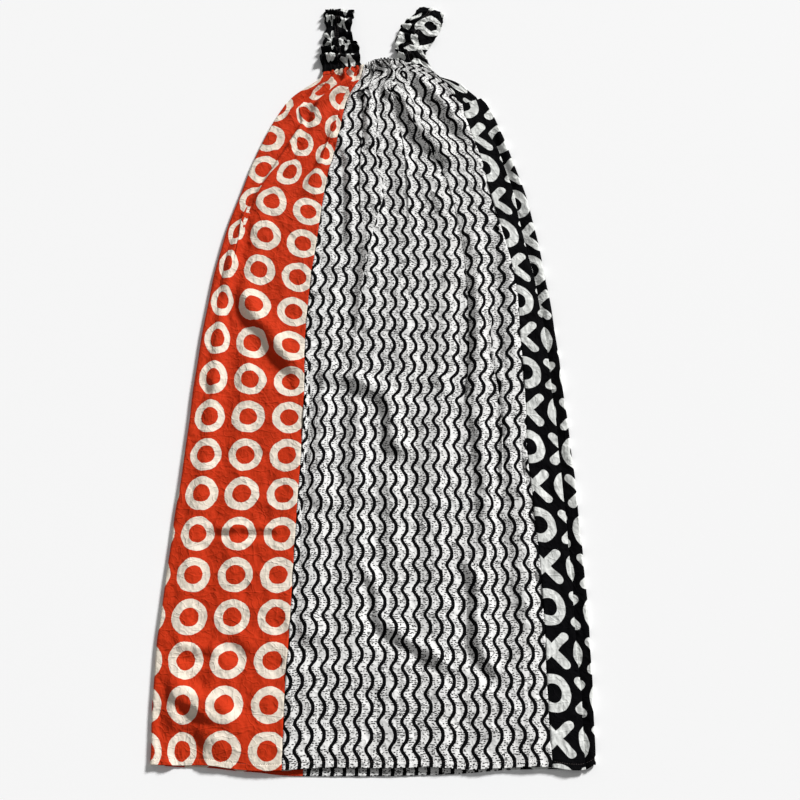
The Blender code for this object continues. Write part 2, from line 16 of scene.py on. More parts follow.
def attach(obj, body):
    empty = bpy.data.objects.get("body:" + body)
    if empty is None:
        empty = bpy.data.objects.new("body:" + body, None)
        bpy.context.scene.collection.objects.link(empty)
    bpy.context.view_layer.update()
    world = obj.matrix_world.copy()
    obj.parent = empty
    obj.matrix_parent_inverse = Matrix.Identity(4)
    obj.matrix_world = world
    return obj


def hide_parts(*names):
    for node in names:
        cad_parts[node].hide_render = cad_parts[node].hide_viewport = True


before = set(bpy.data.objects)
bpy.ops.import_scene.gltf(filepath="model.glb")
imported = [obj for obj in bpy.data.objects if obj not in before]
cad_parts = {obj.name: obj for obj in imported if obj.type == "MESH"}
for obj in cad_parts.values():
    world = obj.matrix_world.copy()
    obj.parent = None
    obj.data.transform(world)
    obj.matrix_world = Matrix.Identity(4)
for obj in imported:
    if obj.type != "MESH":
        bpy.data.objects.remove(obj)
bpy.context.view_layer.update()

MM = 0.001
MIDDLE_X = 0.15
MIDDLE_Y = 694.54

# The solids' form, which the shells follow.
SOLID_WALL = 1.2
SEAM_GAP = 0.3
BACK_HEIGHT = SOLID_WALL / 2
FRONT_REST = 7.0
FOLD_GAIN = 1.55
FRONT_LOWEST = 2.5
EDGE_HEIGHT = 7.6
EDGE_REACH = 32.0
EDGE_SWAY = 0.9
EDGE_RADIUS = (EDGE_HEIGHT - BACK_HEIGHT) / 2
TURN_LENGTH = math.pi * EDGE_RADIUS
LEFT_ARMHOLE = 1171.0
RIGHT_ARMHOLE = 1183.0
TOP_OF_EDGE = 1240.0
HEM_OF_EDGE = 16.0
UNEVEN = [(0.7, 47.0, 83.0), (0.5, 29.0, 61.0)]
FLOOR_EASE = 0.9
HIGHEST = 18.0

OUTLINE_COLUMNS = "y left_fold left_seam right_seam pleat right_fold"
OUTLINE = [
    (0, -332, -135, 269, 317, 332),
    (110, -335, -135, 266, 317, 335),
    (210, -334, -131, 266, 313, 335),
    (310, -327, -128, 263, 311, 332),
    (410, -319, -125, 256, 306, 328),
    (510, -311, -121, 249, 301, 321),
    (610, -304, -119, 250, 295, 314),
    (710, -296, -120, 245, 288, 305),
    (810, -283, -114, 241, 275, 294),
    (910, -264, -103, 221, 256, 279),
    (1010, -235, -91, 197, 238, 257),
    (1060, -219, -81, 186, 224, 242),
    (1110, -200, -70, 170, 208, 226),
    (1160, -176, -62, 157, 193, 206),
    (1185, -161, -56, 153, 186, 191),
    (1205, -138, -47, 151, 166, 171),
    (1225, -112, -34, 150, 146, 148),
    (1240, -104, -29, 149, 106, 108),
    (1260, -100, -26, 148, 80, 82),
]
BACK_COLUMNS = "y left_seam right_seam"
BACK_SEAMS = [(0, -104, 202), (1260, -34, 82)]
HEM_COLUMNS = "x front back"
HEMS = [
    (-332, 16, 16), (-290, 15, 13), (-248, 15, 12), (-200, 9, 7), (-171, 7, 5), (-135, 8, 1),
    (-92, 11, 0), (23, 11, 0), (99, 12, 2), (142, 9, 4), (190, 11, 8), (268, 12, 10), (300, 8, 10),
    (317, 9, 12), (332, 16, 16),
]
FRONT_TOP = [
    (-104, 1240), (-61, 1248), (-28, 1257), (-12, 1265), (6, 1270), (26, 1271), (42, 1267),
    (62, 1260), (82, 1251), (104, 1241), (118, 1227), (134, 1205), (150, 1172), (157, 1171),
    (175, 1176), (191, 1183),
]
BACK_TOP = [(-104, 1240), (-60, 1246), (-28, 1252), (5, 1256), (34, 1255), (82, 1248), (108, 1240)]

# A fold is a path over the front layer. Its rise lifts one side and sinks the other by that height.
# Its crest lifts the path itself, or sinks it where negative. Width is from the path to the crest.
FOLD_FADE_SHARE = 0.35
FOLD_FADE = 60.0
Fold = namedtuple("Fold", "name width rise crest path")
FOLDS = [
    Fold("neck_left", 10, 2.5, 0, [(-42, 1222), (-60, 1149)]),
    Fold("bust_left", 8, 2.5, -1.5, [(-18, 1205), (-25, 1138), (-18, 1060)]),
    Fold("bust_middle", 9, 0, -1.5, [(30, 1160), (23, 1040), (23, 900)]),
    Fold("neck_swag_low", 13, 5.6, -1.0, [(18, 1216), (45, 1153), (62, 1117), (102, 1067), (140, 1020)]),
    Fold("neck_swag_high", 11, 4.6, -0.8, [(48, 1251), (100, 1178), (135, 1130), (171, 1077)]),
    Fold("swag_crest", 12, 0, 2.6, [(62, 1178), (100, 1150), (137, 1110)]),
    Fold("seam_drop_left", 9, 4.0, -1.5, [(-86, 1113), (-60, 1034), (-55, 844)]),
    Fold("waist_left", 15, 3.6, -0.5, [(-26, 935), (-33, 777), (-36, 740), (-1, 700)]),
    Fold("long_right_high", 12, 3.4, -1.0, [(162, 830), (159, 685), (146, 565)]),
    Fold("long_right_low", 12, 3.4, -1.0, [(150, 590), (164, 515), (170, 407), (158, 335)]),
    Fold("knife_right", 6, 1.6, 0, [(201, 796), (193, 696), (206, 610), (208, 503), (193, 400)]),
    Fold("hip_swag", 13, 4.4, 0, [(-122, 633), (-51, 622), (8, 590), (20, 520), (74, 480)]),
    Fold("left_dimple", 14, 2.4, 0, [(-112, 430), (-55, 395)]),
    Fold("low_swag", 9, 3.6, 0.8, [(-46, 320), (-6, 285), (4, 228), (41, 200), (87, 172), (128, 138)]),
    Fold("low_right", 10, 3.8, -0.5, [(121, 335), (151, 290), (150, 220), (166, 168), (212, 118)]),
    Fold("hem_right", 14, -3.2, 0, [(256, 150), (226, 114), (215, 78), (178, 30)]),
    Fold("hem_left", 20, -2.4, -0.5, [(-2, 162), (-65, 102), (-112, 58)]),
    Fold("cross_left", 16, 2.2, -0.8, [(-126, 200), (-60, 186)]),
    Fold("orange_overlap", 7, 6.5, 1.0, [(-126, 1160), (-150, 1108), (-206, 1000), (-232, 945)]),
    Fold("orange_strand_high", 7, 4.2, 3.2, [(-40, 1243), (-97, 1190), (-150, 1160)]),
    Fold("orange_valley_high", 6, 0, -6.0, [(-52, 1241), (-110, 1199), (-160, 1160)]),
    Fold("orange_strand_low", 6, 4.0, 0, [(-58, 1222), (-92, 1190), (-120, 1150), (-124, 1110)]),
    Fold("orange_crease", 7, 3.4, 0, [(-236, 935), (-252, 873), (-264, 815)]),
    Fold("orange_swag", 15, 5.4, 0, [(-262, 822), (-233, 764), (-193, 712), (-170, 676), (-122, 618)]),
    Fold("orange_edge_dent", 8, 2.4, -1.0, [(-300, 650), (-266, 598)]),
    Fold("orange_press_high", 7, 0, -1.6, [(-300, 497), (-165, 495)]),
    Fold("orange_press_low", 6, 2.6, -0.5, [(-296, 372), (-127, 370)]),
    Fold("orange_dent_low", 9, 2.4, -0.8, [(-322, 187), (-262, 178), (-224, 190)]),
    Fold("orange_hip_low", 12, 2.4, 0, [(-232, 206), (-182, 172)]),
    Fold("orange_corner_low", 27, 7.0, 0, [(-345, 108), (-295, 76), (-250, 48), (-226, 8)]),
    Fold("orange_corner", 11, 6.0, 1.2, [(-330, 140), (-282, 102), (-222, 74), (-206, 50)]),
]

PLEAT_DEPTHS = [(0, 18), (600, 18), (750, 15), (900, 12), (1200, 12)]
PLEAT_LAYER = 1.9
PLEAT_FADES = (1150.0, 1080.0)
PLEAT_TUCK = 2.0

STRAP_COLUMNS = "place left_x left_y line_x line_y right_x right_y"
LEFT_STRAP = [
    (0, -102, 1241, -66, 1247, -30, 1257),
    (1, -107, 1268, -72, 1270, -34, 1273),
    (2, -107, 1286, -74, 1286, -34, 1288),
    (3, -103, 1303, -76, 1304, -39, 1304),
    (4, -100, 1325, -78, 1325, -50, 1323),
    (5, -100, 1348, -77, 1348, -50, 1346),
    (6, -103, 1368, -76, 1368, -47, 1367),
    (7, -101, 1380, -75, 1381, -46, 1378),
]
RIGHT_STRAP = [
    (0, 35, 1269, 66, 1259, 103, 1243),
    (1, 34, 1284, 58, 1278, 93, 1264),
    (2, 32, 1304, 58, 1298, 89, 1281),
    (3, 38, 1327, 68, 1318, 100, 1303),
    (4, 45, 1347, 76, 1342, 113, 1325),
    (5, 61, 1364, 87, 1362, 121, 1347),
    (6, 78, 1386, 101, 1383, 123, 1369),
]
STRAP_HEIGHT = 7.2

# The cloth itself: its thickness, and the widths that each panel was cut to.
CLOTH = 0.55
LIFT = (SOLID_WALL - CLOTH) / 2
CENTRE_CLOTH = 407.0
BACK_CLOTH = 306.0
ORANGE_BACK_CLOTH = 228.0
BLACK_BACK_CLOTH = 134.0
PANEL_LENGTH = 1245.0
CENTRE_HEM = 11.0
CENTRE_TOP = 1262.0
CENTRE_SPACES = 152
BACK_SPACES = 129
PLAIN_ROWS = 220
GATHERED_ROWS = 66
ORANGE_CLOTH = [
    (0, 217), (100, 209), (168, 204), (310, 200), (440, 195), (610, 190), (835, 186), (1036, 185),
    (1161, 172), (1250, 168),
]

# A tuck is a fold that laps over itself and hides cloth. It runs down from the neck along its path.
# Its lip points to the left where the side is 1 and to the right where it is -1.
TUCK_TURN = 3.2
TUCK_FADE = 320.0
TUCK_FADE_SHARE = 0.6
Tuck = namedtuple("Tuck", "name side weight path")
SWAG_PATH = [
    (22, 1270), (30, 1231), (59, 1170), (95, 1096), (120, 1050),
    (142, 960), (156, 850), (159, 700), (148, 560),
]
CENTRE_TUCKS = [
    Tuck("bust_left", 1, 0.8, [(-8, 1262), (-11, 1235), (-18, 1181), (-23, 1123), (-28, 1075), (-30, 900)]),
    Tuck("bust_middle", -1, 1.0, [
        (4, 1230), (2, 1180), (-4, 1054), (9, 972), (0, 942), (-16, 860), (-30, 740), (-30, 640),
    ]),
    Tuck("neck_middle", 1, 0.6, [(10, 1270), (14, 1220), (35, 1170), (50, 1080), (54, 900)]),
    Tuck("swag_low", 1, 1.8, SWAG_PATH),
    Tuck("knife_right", -1, 0.5, [(206, 860), (201, 796), (193, 696), (206, 610), (208, 503), (193, 380)]),
]
OVERLAP_TOP = [(-70, 1250), (-104, 1205), (-139, 1166), (-138, 1127), (-157, 1065)]
ORANGE_TUCKS = [
    Tuck("valley_high", 1, 0.4, [(-84, 1242), (-118, 1199), (-160, 1155), (-180, 1110)]),
    Tuck("overlap", 1, 1.0, OVERLAP_TOP + [(-211, 981), (-239, 893), (-249, 800)]),
    Tuck("seam_side", -1, 0.35, [
        (-34, 1250), (-55, 1203), (-70, 1159), (-79, 1110), (-92, 1060), (-104, 990),
    ]),
    Tuck("swag", 1, 0.6, [(-250, 800), (-233, 764), (-193, 712), (-170, 676), (-140, 640)]),
]
# An anchor is a path that stays at one place of the cloth.
# The place is in mm from the left edge, or from the right edge where it is negative.
Anchor = namedtuple("Anchor", "place path")
CENTRE_ANCHORS = [
    Anchor(48, [
        (-38, 1252), (-50, 1200), (-58, 1155), (-56, 1096), (-56, 972), (-62, 840), (-76, 600), (-87, 11),
    ]),
    Anchor(-120, SWAG_PATH + [(150, 300), (150, 11)]),
]
ORANGE_ANCHORS = [
    Anchor(-124, OVERLAP_TOP + [
        (-179, 1023), (-211, 981), (-228, 944), (-239, 893), (-246, 850),
        (-243, 790), (-244, 600), (-250, 400), (-256, 200), (-260, 11),
    ]),
]
# How much narrower each panel is cut beside a seam, up its height.
CENTRE_LEFT_CUT = [(0, 0), (860, 0), (940, 8), (1010, 20), (1096, 36), (1200, 45), (1265, 45)]
CENTRE_RIGHT_CUT = [
    (0, 0), (300, 2), (560, 8), (700, 20), (850, 35), (960, 52), (1040, 58), (1096, 50), (1172, 36),
    (1265, 30),
]
BLACK_CUT = [(0, 0), (300, 2), (500, 6), (700, 8), (850, 11), (1060, 10), (1200, 9)]
ORANGE_CUT = [(0, 0), (960, 0), (1060, 10), (1110, 18), (1200, 26), (1265, 26)]
# Finer waves fill what the tucks leave: their count across the panel and their reach below its edge.
CENTRE_GATHERS = [(23, 13.0), (11, 42.0), (6, 1500.0)]
ORANGE_GATHERS = [(9, 13.0), (5, 42.0), (3, 1500.0)]
TOP_TUCKS = 1235.0
LEAST_ZONE = 1.5
ANCHOR_REACH = 4.0
TUCKS_START = 0.0
TUCKS_FULL = 30.0
TUCKS_SHARE = 0.9
# Relief wider than the spread is left to the folds. A row is worked out in steps of the sample.
RELIEF_SPREAD = 17.0
SAMPLE = 0.4
# Widths over which relief fades towards a seam, the hem, a side fold and the pleat.
SEAM_FADE = 9.0
HEM_CALM = 20.0
FOLD_CALM = 40.0
PLEAT_CALM = 12.0

# Small soft creases all over, as ridged noise: height and how far apart across and along.
CRUMPLE = [(2.1, 60.0, 84.0), (1.1, 27.0, 33.0), (0.5, 13.0, 17.0)]
CRUMPLE_CHANGE = 170.0

# The turned hem and the neck casing.
HEM_WIDTH = 9.0
CASING_WIDTH = 8.0
TURNED_CLOTH = 0.75
TURNED_EASE = 0.4
STITCH_DENT = 0.5
DENT_REACH = 0.7
PUCKER = 0.25
PUCKER_REACH = 13.0
HEM_ROWS = [0, 0.7, 2.0, 4.5, 7.2, 8.4, 9.0, 9.6, 10.8, 14.0]
CASING_ROWS = [0, 0.7, 2.0, 4.5, 6.8, 7.5, 8.0, 8.6, 10.0]
GATHERED_LENGTH = 190.0
ALLOWANCE = [(0.1, 0.75), (0.9, 1.35), (8.5, 1.45)]
SEAM_DIP = 0.35
DIP_REACH = 1.5
CHANNEL = 0.4
CHANNEL_REACH = 0.8
THREAD = 0.3
STITCH_LENGTH = 2.5
STITCH_SIDES = 6
STITCH_SPACE = 3.5
FRONT_HEM_ROW = HEM_ROWS.index(9.0)
FRONT_CASING_ROW = -1 - CASING_ROWS.index(8.0)
BACK_HEM_ROW = FRONT_HEM_ROW // 2


def smooth_step(value):
    value = np.clip(value, 0.0, 1.0)
    return value * value * (3 - 2 * value)


def mix(a, b, share):
    return a + (b - a) * share


def near(away, reach):
    """One at a line and nothing far from it, over a bell of this reach."""
    return np.exp(-((away / reach) ** 2))


def running(steps):
    """Running totals of the steps, from nothing, down each column where there are several."""
    return np.concatenate([np.zeros((1, *steps.shape[1:])), np.cumsum(steps, axis=0)])


def between(values):
    """The means of neighbours down each column."""
    return (values[1:] + values[:-1]) / 2


def smooth_curve(at, values):
    """A function through the points (at, value) with no corner at them."""
    at = np.array(at, float)
    values = np.array(values, float)
    slopes = np.gradient(values, at)

    def curve(x):
        x = np.clip(np.asarray(x, float), at[0], at[-1])
        i = np.clip(np.searchsorted(at, x, side="right") - 1, 0, len(at) - 2)
        span = at[i + 1] - at[i]
        f = (x - at[i]) / span
        rise = values[i + 1] - values[i]
        bend = f * (1 - f) * (slopes[i] * span * (1 - f) - slopes[i + 1] * span * f)
        return values[i] + rise * smooth_step(f) + bend

    return curve


def columns(table, names):
    """One smooth curve for each named column after the first, which says where."""
    names = names.split()
    rows = np.array(table, float)
    return {name: smooth_curve(rows[:, 0], rows[:, i]) for i, name in enumerate(names) if i}


EDGES = columns(OUTLINE, OUTLINE_COLUMNS)
BACK = columns(BACK_SEAMS, BACK_COLUMNS)
HEM = columns(HEMS, HEM_COLUMNS)
TOP = {"front": columns(FRONT_TOP, "x y")["y"], "back": columns(BACK_TOP, "x y")["y"]}
SEAMS = {
    "front": (EDGES["left_seam"], EDGES["right_seam"]),
    "back": (BACK["left_seam"], BACK["right_seam"]),
}
ORANGE_WIDTH = columns(ORANGE_CLOTH, "y width")["width"]
CENTRE_CUTS = [columns(table, "y cut")["cut"] for table in (CENTRE_LEFT_CUT, CENTRE_RIGHT_CUT)]
ORANGE_SEAM_CUT = columns(ORANGE_CUT, "y cut")["cut"]
BLACK_SEAM_CUT = columns(BLACK_CUT, "y cut")["cut"]
PLEAT_DEPTH = columns(PLEAT_DEPTHS, "y depth")["depth"]


def rounded_path(path, pieces=5):
    """The path again with its corners rounded, as points close together."""
    points = np.array(path, float)
    index = np.arange(len(points))
    fine = np.linspace(0, len(points) - 1, pieces * (len(points) - 1) + 1)
    return np.stack([smooth_curve(index, points[:, k])(fine) for k in (0, 1)], axis=1)


def beside_path(x, y, path):
    """For each point its signed distance from the path, and how far along the path it lies in mm."""
    best = np.full(x.shape, np.inf)
    side = np.zeros(x.shape)
    along = np.zeros(x.shape)
    start = 0.0
    for (ax, ay), (bx, by) in zip(path[:-1], path[1:]):
        dx, dy = bx - ax, by - ay
        length = math.hypot(dx, dy)
        f = np.clip(((x - ax) * dx + (y - ay) * dy) / length**2, 0, 1)
        off_x, off_y = x - ax - f * dx, y - ay - f * dy
        distance = np.hypot(off_x, off_y)
        closer = distance < best
        best = np.where(closer, distance, best)
        side = np.where(closer, np.sign(dx * off_y - dy * off_x), side)
        along = np.where(closer, start + f * length, along)
        start += length
    return best * side, along, start


def fold_height(x, y, folds):
    total = np.zeros(np.shape(x))
    for fold in folds:
        away, along, length = beside_path(x, y, rounded_path(fold.path))
        taper = min(FOLD_FADE_SHARE * length, FOLD_FADE)
        fade = smooth_step(along / taper) * smooth_step((length - along) / taper)
        ratio = away / fold.width
        bell = np.exp(-0.5 * ratio**2)
        total = total + fade * bell * (fold.rise * ratio * math.exp(0.5) + fold.crest)
    return FOLD_GAIN * total


def soft_floor(height, lowest):
    """Cloth that would dip below the lowest height lies flat on the layer under it instead."""
    return lowest + FLOOR_EASE * np.logaddexp(0, (height - lowest) / FLOOR_EASE)


def unevenness(x, y):
    return sum(height * np.sin(x / across - y / along) for height, across, along in UNEVEN)


def crumple(x, y, seed):
    """Crests and troughs of small creases, ridged noise worked out point by point."""
    flat_x, flat_y = np.ravel(x), np.ravel(y)

    def ridges(across, along, level):
        places = zip(flat_x / across, flat_y / along)
        return np.array([abs(noise.noise(Vector((px, py, level)))) for px, py in places])

    total = np.zeros(flat_x.shape)
    for height, across, along in CRUMPLE:
        crests = 0.5 - 2 * ridges(across, along, seed + across)
        troughs = 0.5 - 2 * ridges(across * 1.1, along * 0.8, seed + along + 40)
        total += height * (crests - 0.7 * troughs)
    strength = 0.55 + 2.2 * ridges(CRUMPLE_CHANGE, CRUMPLE_CHANGE, seed)
    return (total * strength).reshape(np.shape(x))


def front_height(x, y, extra=0.0):
    """Height of the middle of the front layer's solid wall, with more relief inside its edges."""
    loose = FRONT_REST + unevenness(x, y) + fold_height(x, y, FOLDS) + extra
    to_left = smooth_step((x - EDGES["left_fold"](y) - EDGE_RADIUS) / EDGE_REACH)
    to_right = smooth_step((EDGES["right_fold"](y) - EDGE_RADIUS - x) / EDGE_REACH)
    floored = soft_floor(mix(EDGE_HEIGHT, loose, to_left * to_right), FRONT_LOWEST)
    return HIGHEST - soft_floor(HIGHEST - floored, 0.0)


def row_distances(length):
    """Places of a panel's rows from its hem up, closer at the hem, in the gathers and at the casing."""
    plain = np.linspace(HEM_ROWS[-1], length - GATHERED_LENGTH, PLAIN_ROWS)[1:-1]
    gathered = np.linspace(length - GATHERED_LENGTH, length - CASING_ROWS[-1], GATHERED_ROWS)[:-1]
    return np.concatenate([HEM_ROWS, plain, gathered, length - np.array(CASING_ROWS[::-1])])


# How far a wave swings from level so that it fills a share of its cloth's length.
SWINGS = np.linspace(0, 2.2, 45)
TURNS = np.linspace(0, 2 * math.pi, 64, endpoint=False)
FILLED = np.cos(SWINGS[:, None] * np.sin(TURNS)).mean(axis=1)
# How much of its two turns' length a small tuck hides, by how far it swings.
TUCK_SWINGS = np.linspace(0.01, math.pi, 40)
TUCK_HIDES = 1 - np.sin(TUCK_SWINGS) / TUCK_SWINGS


def tuck_angle(s, centre, hidden):
    """Slope angle along the cloth at a tuck that hides this length: up, back under the lip and on."""
    flat = max(0.0, hidden - 2 * TUCK_TURN) / 2
    swing = np.interp(min(hidden, 2 * TUCK_TURN) / (2 * TUCK_TURN), TUCK_HIDES, TUCK_SWINGS)
    rises = smooth_step((s - centre + flat / 2 + TUCK_TURN) / TUCK_TURN)
    falls = smooth_step((s - centre - flat / 2) / TUCK_TURN)
    return swing * (rises - falls)


def path_place(path, y):
    """Where a path that runs downwards lies at this height."""
    return float(smooth_curve([point[1] for point in path][::-1], [point[0] for point in path][::-1])(y))


def row_zones(y, left, width, cloth, first, last, anchors):
    """Where the anchors cut a row: distances from its left end in the plan, and places on the cloth."""
    at, places = [0.0], [first]
    for number, anchor in enumerate(anchors):
        room = LEAST_ZONE * (len(anchors) - number)
        x = min(max(path_place(anchor.path, y) - left, at[-1] + LEAST_ZONE), width - room)
        place = anchor.place if anchor.place > 0 else cloth + anchor.place
        place = min(max(place, places[-1] + x - at[-1]), last - (width - x))
        at.append(x)
        places.append(place)
    return np.array(at + [width]), np.array(places + [last])


def zone_tucks(y, left, zone_at, zone_places, below, tucks):
    """Each tuck's place along the cloth, what it hides and its side, and each zone's looseness."""
    active = [[] for _ in zone_at[1:]]
    for tuck in tucks:
        top, foot = tuck.path[0][1], tuck.path[-1][1]
        if not foot < y < top:
            continue
        taper = min(TUCK_FADE, TUCK_FADE_SHARE * (top - foot))
        fade = float(smooth_step((y - foot) / taper))
        if top < TOP_TUCKS:
            fade *= float(smooth_step((top - y) / taper))
        x = min(max(path_place(tuck.path, y) - left, 0.5), zone_at[-1] - 0.5)
        zone = max(0, int(np.searchsorted(zone_at, x - ANCHOR_REACH)) - 1)
        active[zone].append((x - zone_at[zone], tuck.weight * fade, tuck.side))
    found, loose = [], []
    for zone, members in enumerate(active):
        width, cloth = zone_at[zone + 1] - zone_at[zone], zone_places[zone + 1] - zone_places[zone]
        total = sum(weight for _, weight, _ in members)
        spare = max(0.0, cloth - width) * TUCKS_SHARE * float(smooth_step(2 * total))
        spare *= float(smooth_step((below - TUCKS_START) / (TUCKS_FULL - TUCKS_START)))
        ratio = (cloth - spare) / width
        before = 0.0
        for x, weight, side in sorted(members):
            hidden = spare * weight / total
            found.append((zone_places[zone] + min(x, width) * ratio + before + hidden / 2, hidden, side))
            before += hidden
        loose.append(ratio)
    return found, loose


def folded_row(y, left, width, cloth, cuts, below, spaces, tucks, gathers, anchors):
    """One row of cloth laid into its width: places along the cloth, shares of the width and relief."""
    first, last = max(0.0, cuts[0]), cloth - max(0.0, cuts[1])
    s = np.linspace(first, last, int((last - first) / SAMPLE) + 1)
    zone_at, zone_places = row_zones(y, left, width, cloth, first, last, anchors)
    places, loose = zone_tucks(y, left, zone_at, zone_places, below, tucks)
    angle = np.zeros(len(s))
    density = np.ones(len(s))
    for centre, hidden, side in places:
        angle += side * tuck_angle(s, centre, hidden)
        reach = hidden / 2 + TUCK_TURN
        density += 2.6 * min(1.0, hidden / TUCK_TURN) * near(s - centre, reach)
    swings = [np.interp(-1 / max(1.0, ratio), -FILLED, SWINGS) for ratio in loose]
    swing = np.interp(s, between(zone_places), swings)
    left_over = 1.0
    waves = np.zeros(len(s))
    for count, reach in gathers:
        share = left_over * math.exp(-((below / reach) ** 2))
        left_over -= share
        drift = 0.5 * np.sin(s * count * 1.7 / cloth + y / 160)
        waves += math.sqrt(share) * np.sin(2 * math.pi * count * s / cloth + drift)
    ends = smooth_step((s - first) / SEAM_FADE) * smooth_step((last - s) / SEAM_FADE)
    angle = (angle + swing * waves) * ends
    step = s[1] - s[0]
    across = running(np.cos(between(angle)) * step)
    height = running(np.sin(between(angle)) * step)
    cuts = np.maximum.accumulate(np.interp(zone_places, s, across) + np.arange(len(zone_places)) * 1e-6)
    across = np.interp(across, cuts, zone_at)
    reach = int(3 * RELIEF_SPREAD / step)
    kernel = np.exp(-0.5 * (np.arange(-reach, reach + 1) * step / RELIEF_SPREAD) ** 2)
    padded = np.pad(height, reach, mode="edge")
    relief = (height - np.convolve(padded, kernel / kernel.sum(), mode="valid")) * ends
    filled = running(between(density))
    at = np.interp(np.linspace(0, filled[-1], spaces + 1), filled, s)
    return at, np.interp(at, s, across / across[-1]), np.interp(at, s, relief)


def seam_points(which, t, share_up):
    """The points at places t between the seams of the front or the back layer's centre panel."""
    left, right = SEAMS[which]
    hem, top = HEM[which], TOP[which]
    lowest = hem(mix(left(0), right(0), t))
    highest = top(t * 0)
    for _ in range(20):
        highest = top(mix(left(highest), right(highest), t))
    y = mix(lowest, highest, share_up)
    x = mix(left(y) + SEAM_GAP / 2, right(y) - SEAM_GAP / 2, t)
    return x, y, highest - y


def seam_end(which, side, share_up):
    """Where a side panel ends at the seam: x and y, with the seam's gap taken off."""
    x, y, _ = seam_points(which, np.array([0.0 if side == "left" else 1.0]), share_up)
    gap = -SEAM_GAP if side == "left" else SEAM_GAP
    return float(x[0]) + gap, float(y[0])


def run_length(x, y):
    """Distance down each column from its first point."""
    return running(np.hypot(np.diff(x, axis=0), np.diff(y, axis=0)))


def thickness(from_hem, from_edge):
    """The cloth's thickness, more where it is turned over at the hem and round the casing."""
    hem = 1 - smooth_step(from_hem - HEM_WIDTH + TURNED_EASE)
    casing = 1 - smooth_step(from_edge - CASING_WIDTH + TURNED_EASE)
    return CLOTH + TURNED_CLOTH * np.maximum(hem, casing)


def stitch_dent(from_hem, from_edge, along):
    """Dents along the two stitch lines, and the small puckers beside the hem's."""
    puckers = PUCKER * np.sin(along / 2.1 + 1.3 * np.sin(along / 11)) * near(from_hem, PUCKER_REACH)
    dents = near(from_hem - HEM_WIDTH, DENT_REACH) + near(from_edge - CASING_WIDTH, DENT_REACH)
    return puckers - STITCH_DENT * dents


def channel(from_hem, from_edge):
    """How far the underside is drawn up along its stitch lines."""
    hem, casing = near(from_hem - HEM_WIDTH, CHANNEL_REACH), near(from_edge - CASING_WIDTH, CHANNEL_REACH)
    return CHANNEL * np.maximum(hem, casing)


def under(run):
    """A stitch line's points on the garment's underside."""
    run = run.copy()
    run[:, 2] = THREAD + 0.02
    return run


class Shell:
    """A grid of cloth, rows by columns, that becomes a closed thin mesh."""

    def __init__(self, points, u, v, thick, cells=None):
        self.points = points
        self.u, self.v = u, v
        self.thick = np.broadcast_to(thick, u.shape)
        self.cells = np.ones((u.shape[0] - 1, u.shape[1] - 1), bool) if cells is None else cells

    def normals(self):
        across = np.gradient(self.points, axis=1)
        along = np.gradient(self.points, axis=0)
        normals = np.cross(across, along)
        return normals / np.maximum(np.linalg.norm(normals, axis=2), 1e-9)[:, :, None]

    def add_allowance(self, end):
        """The seam allowance: the edge turns down and lies back under its own panel."""
        side, inward = (0, 1) if end == "left" else (-1, -1)
        points, places = [], []
        for across, down in ALLOWANCE[::-inward]:
            point = self.points[:, side].copy()
            point[:, 0] += inward * across
            point[:, 2] = np.maximum(point[:, 2] - down, BACK_HEIGHT + CLOTH)
            points.append(point)
            places.append(self.u[:, side] - inward * (across + down))
        v = np.repeat(self.v[:, [side]], len(ALLOWANCE), axis=1)
        added = (np.stack(points, axis=1), np.stack(places, axis=1), v, np.full(v.shape, CLOTH))
        kept = (self.points, self.u, self.v, self.thick)
        pairs = zip(added, kept) if end == "left" else zip(kept, added)
        self.points, self.u, self.v, self.thick = [np.concatenate(pair, axis=1) for pair in pairs]
        wider = (len(ALLOWANCE), 0) if end == "left" else (0, len(ALLOWANCE))
        self.cells = np.pad(self.cells, ((0, 0), wider), constant_values=True)


def surface_run(shell, rows, columns_range):
    """A stitch line's points on the outside of a shell, for one row or one column of it."""
    lift = shell.normals() * (shell.thick / 2 + 0.3 * THREAD)[:, :, None]
    return (shell.points + lift)[rows, columns_range]


def grid_faces(cells, columns_count, offset):
    i, j = np.nonzero(cells)
    corner = i * columns_count + j + offset
    return np.stack([corner, corner + 1, corner + columns_count + 1, corner + columns_count], axis=1)


def rim_faces(faces, count):
    """The faces that join the outer sheet's open edges to the inner sheet."""
    edges = np.concatenate([np.stack([faces[:, k], faces[:, (k + 1) % 4]], axis=1) for k in range(4)])
    keys = edges[:, 0].astype(np.int64) * (4 * count) + edges[:, 1]
    opposite = edges[:, 1].astype(np.int64) * (4 * count) + edges[:, 0]
    a, b = edges[~np.isin(keys, opposite)].T
    return np.stack([b, a, a + count, b + count], axis=1)


def in_metres(points):
    """The points round the frame's origin."""
    return (points - np.array([MIDDLE_X, MIDDLE_Y, 0])) * MM


def new_object(name, data):
    """A new object with this data, in the scene."""
    made = bpy.data.objects.new(name, data)
    bpy.context.scene.collection.objects.link(made)
    return made


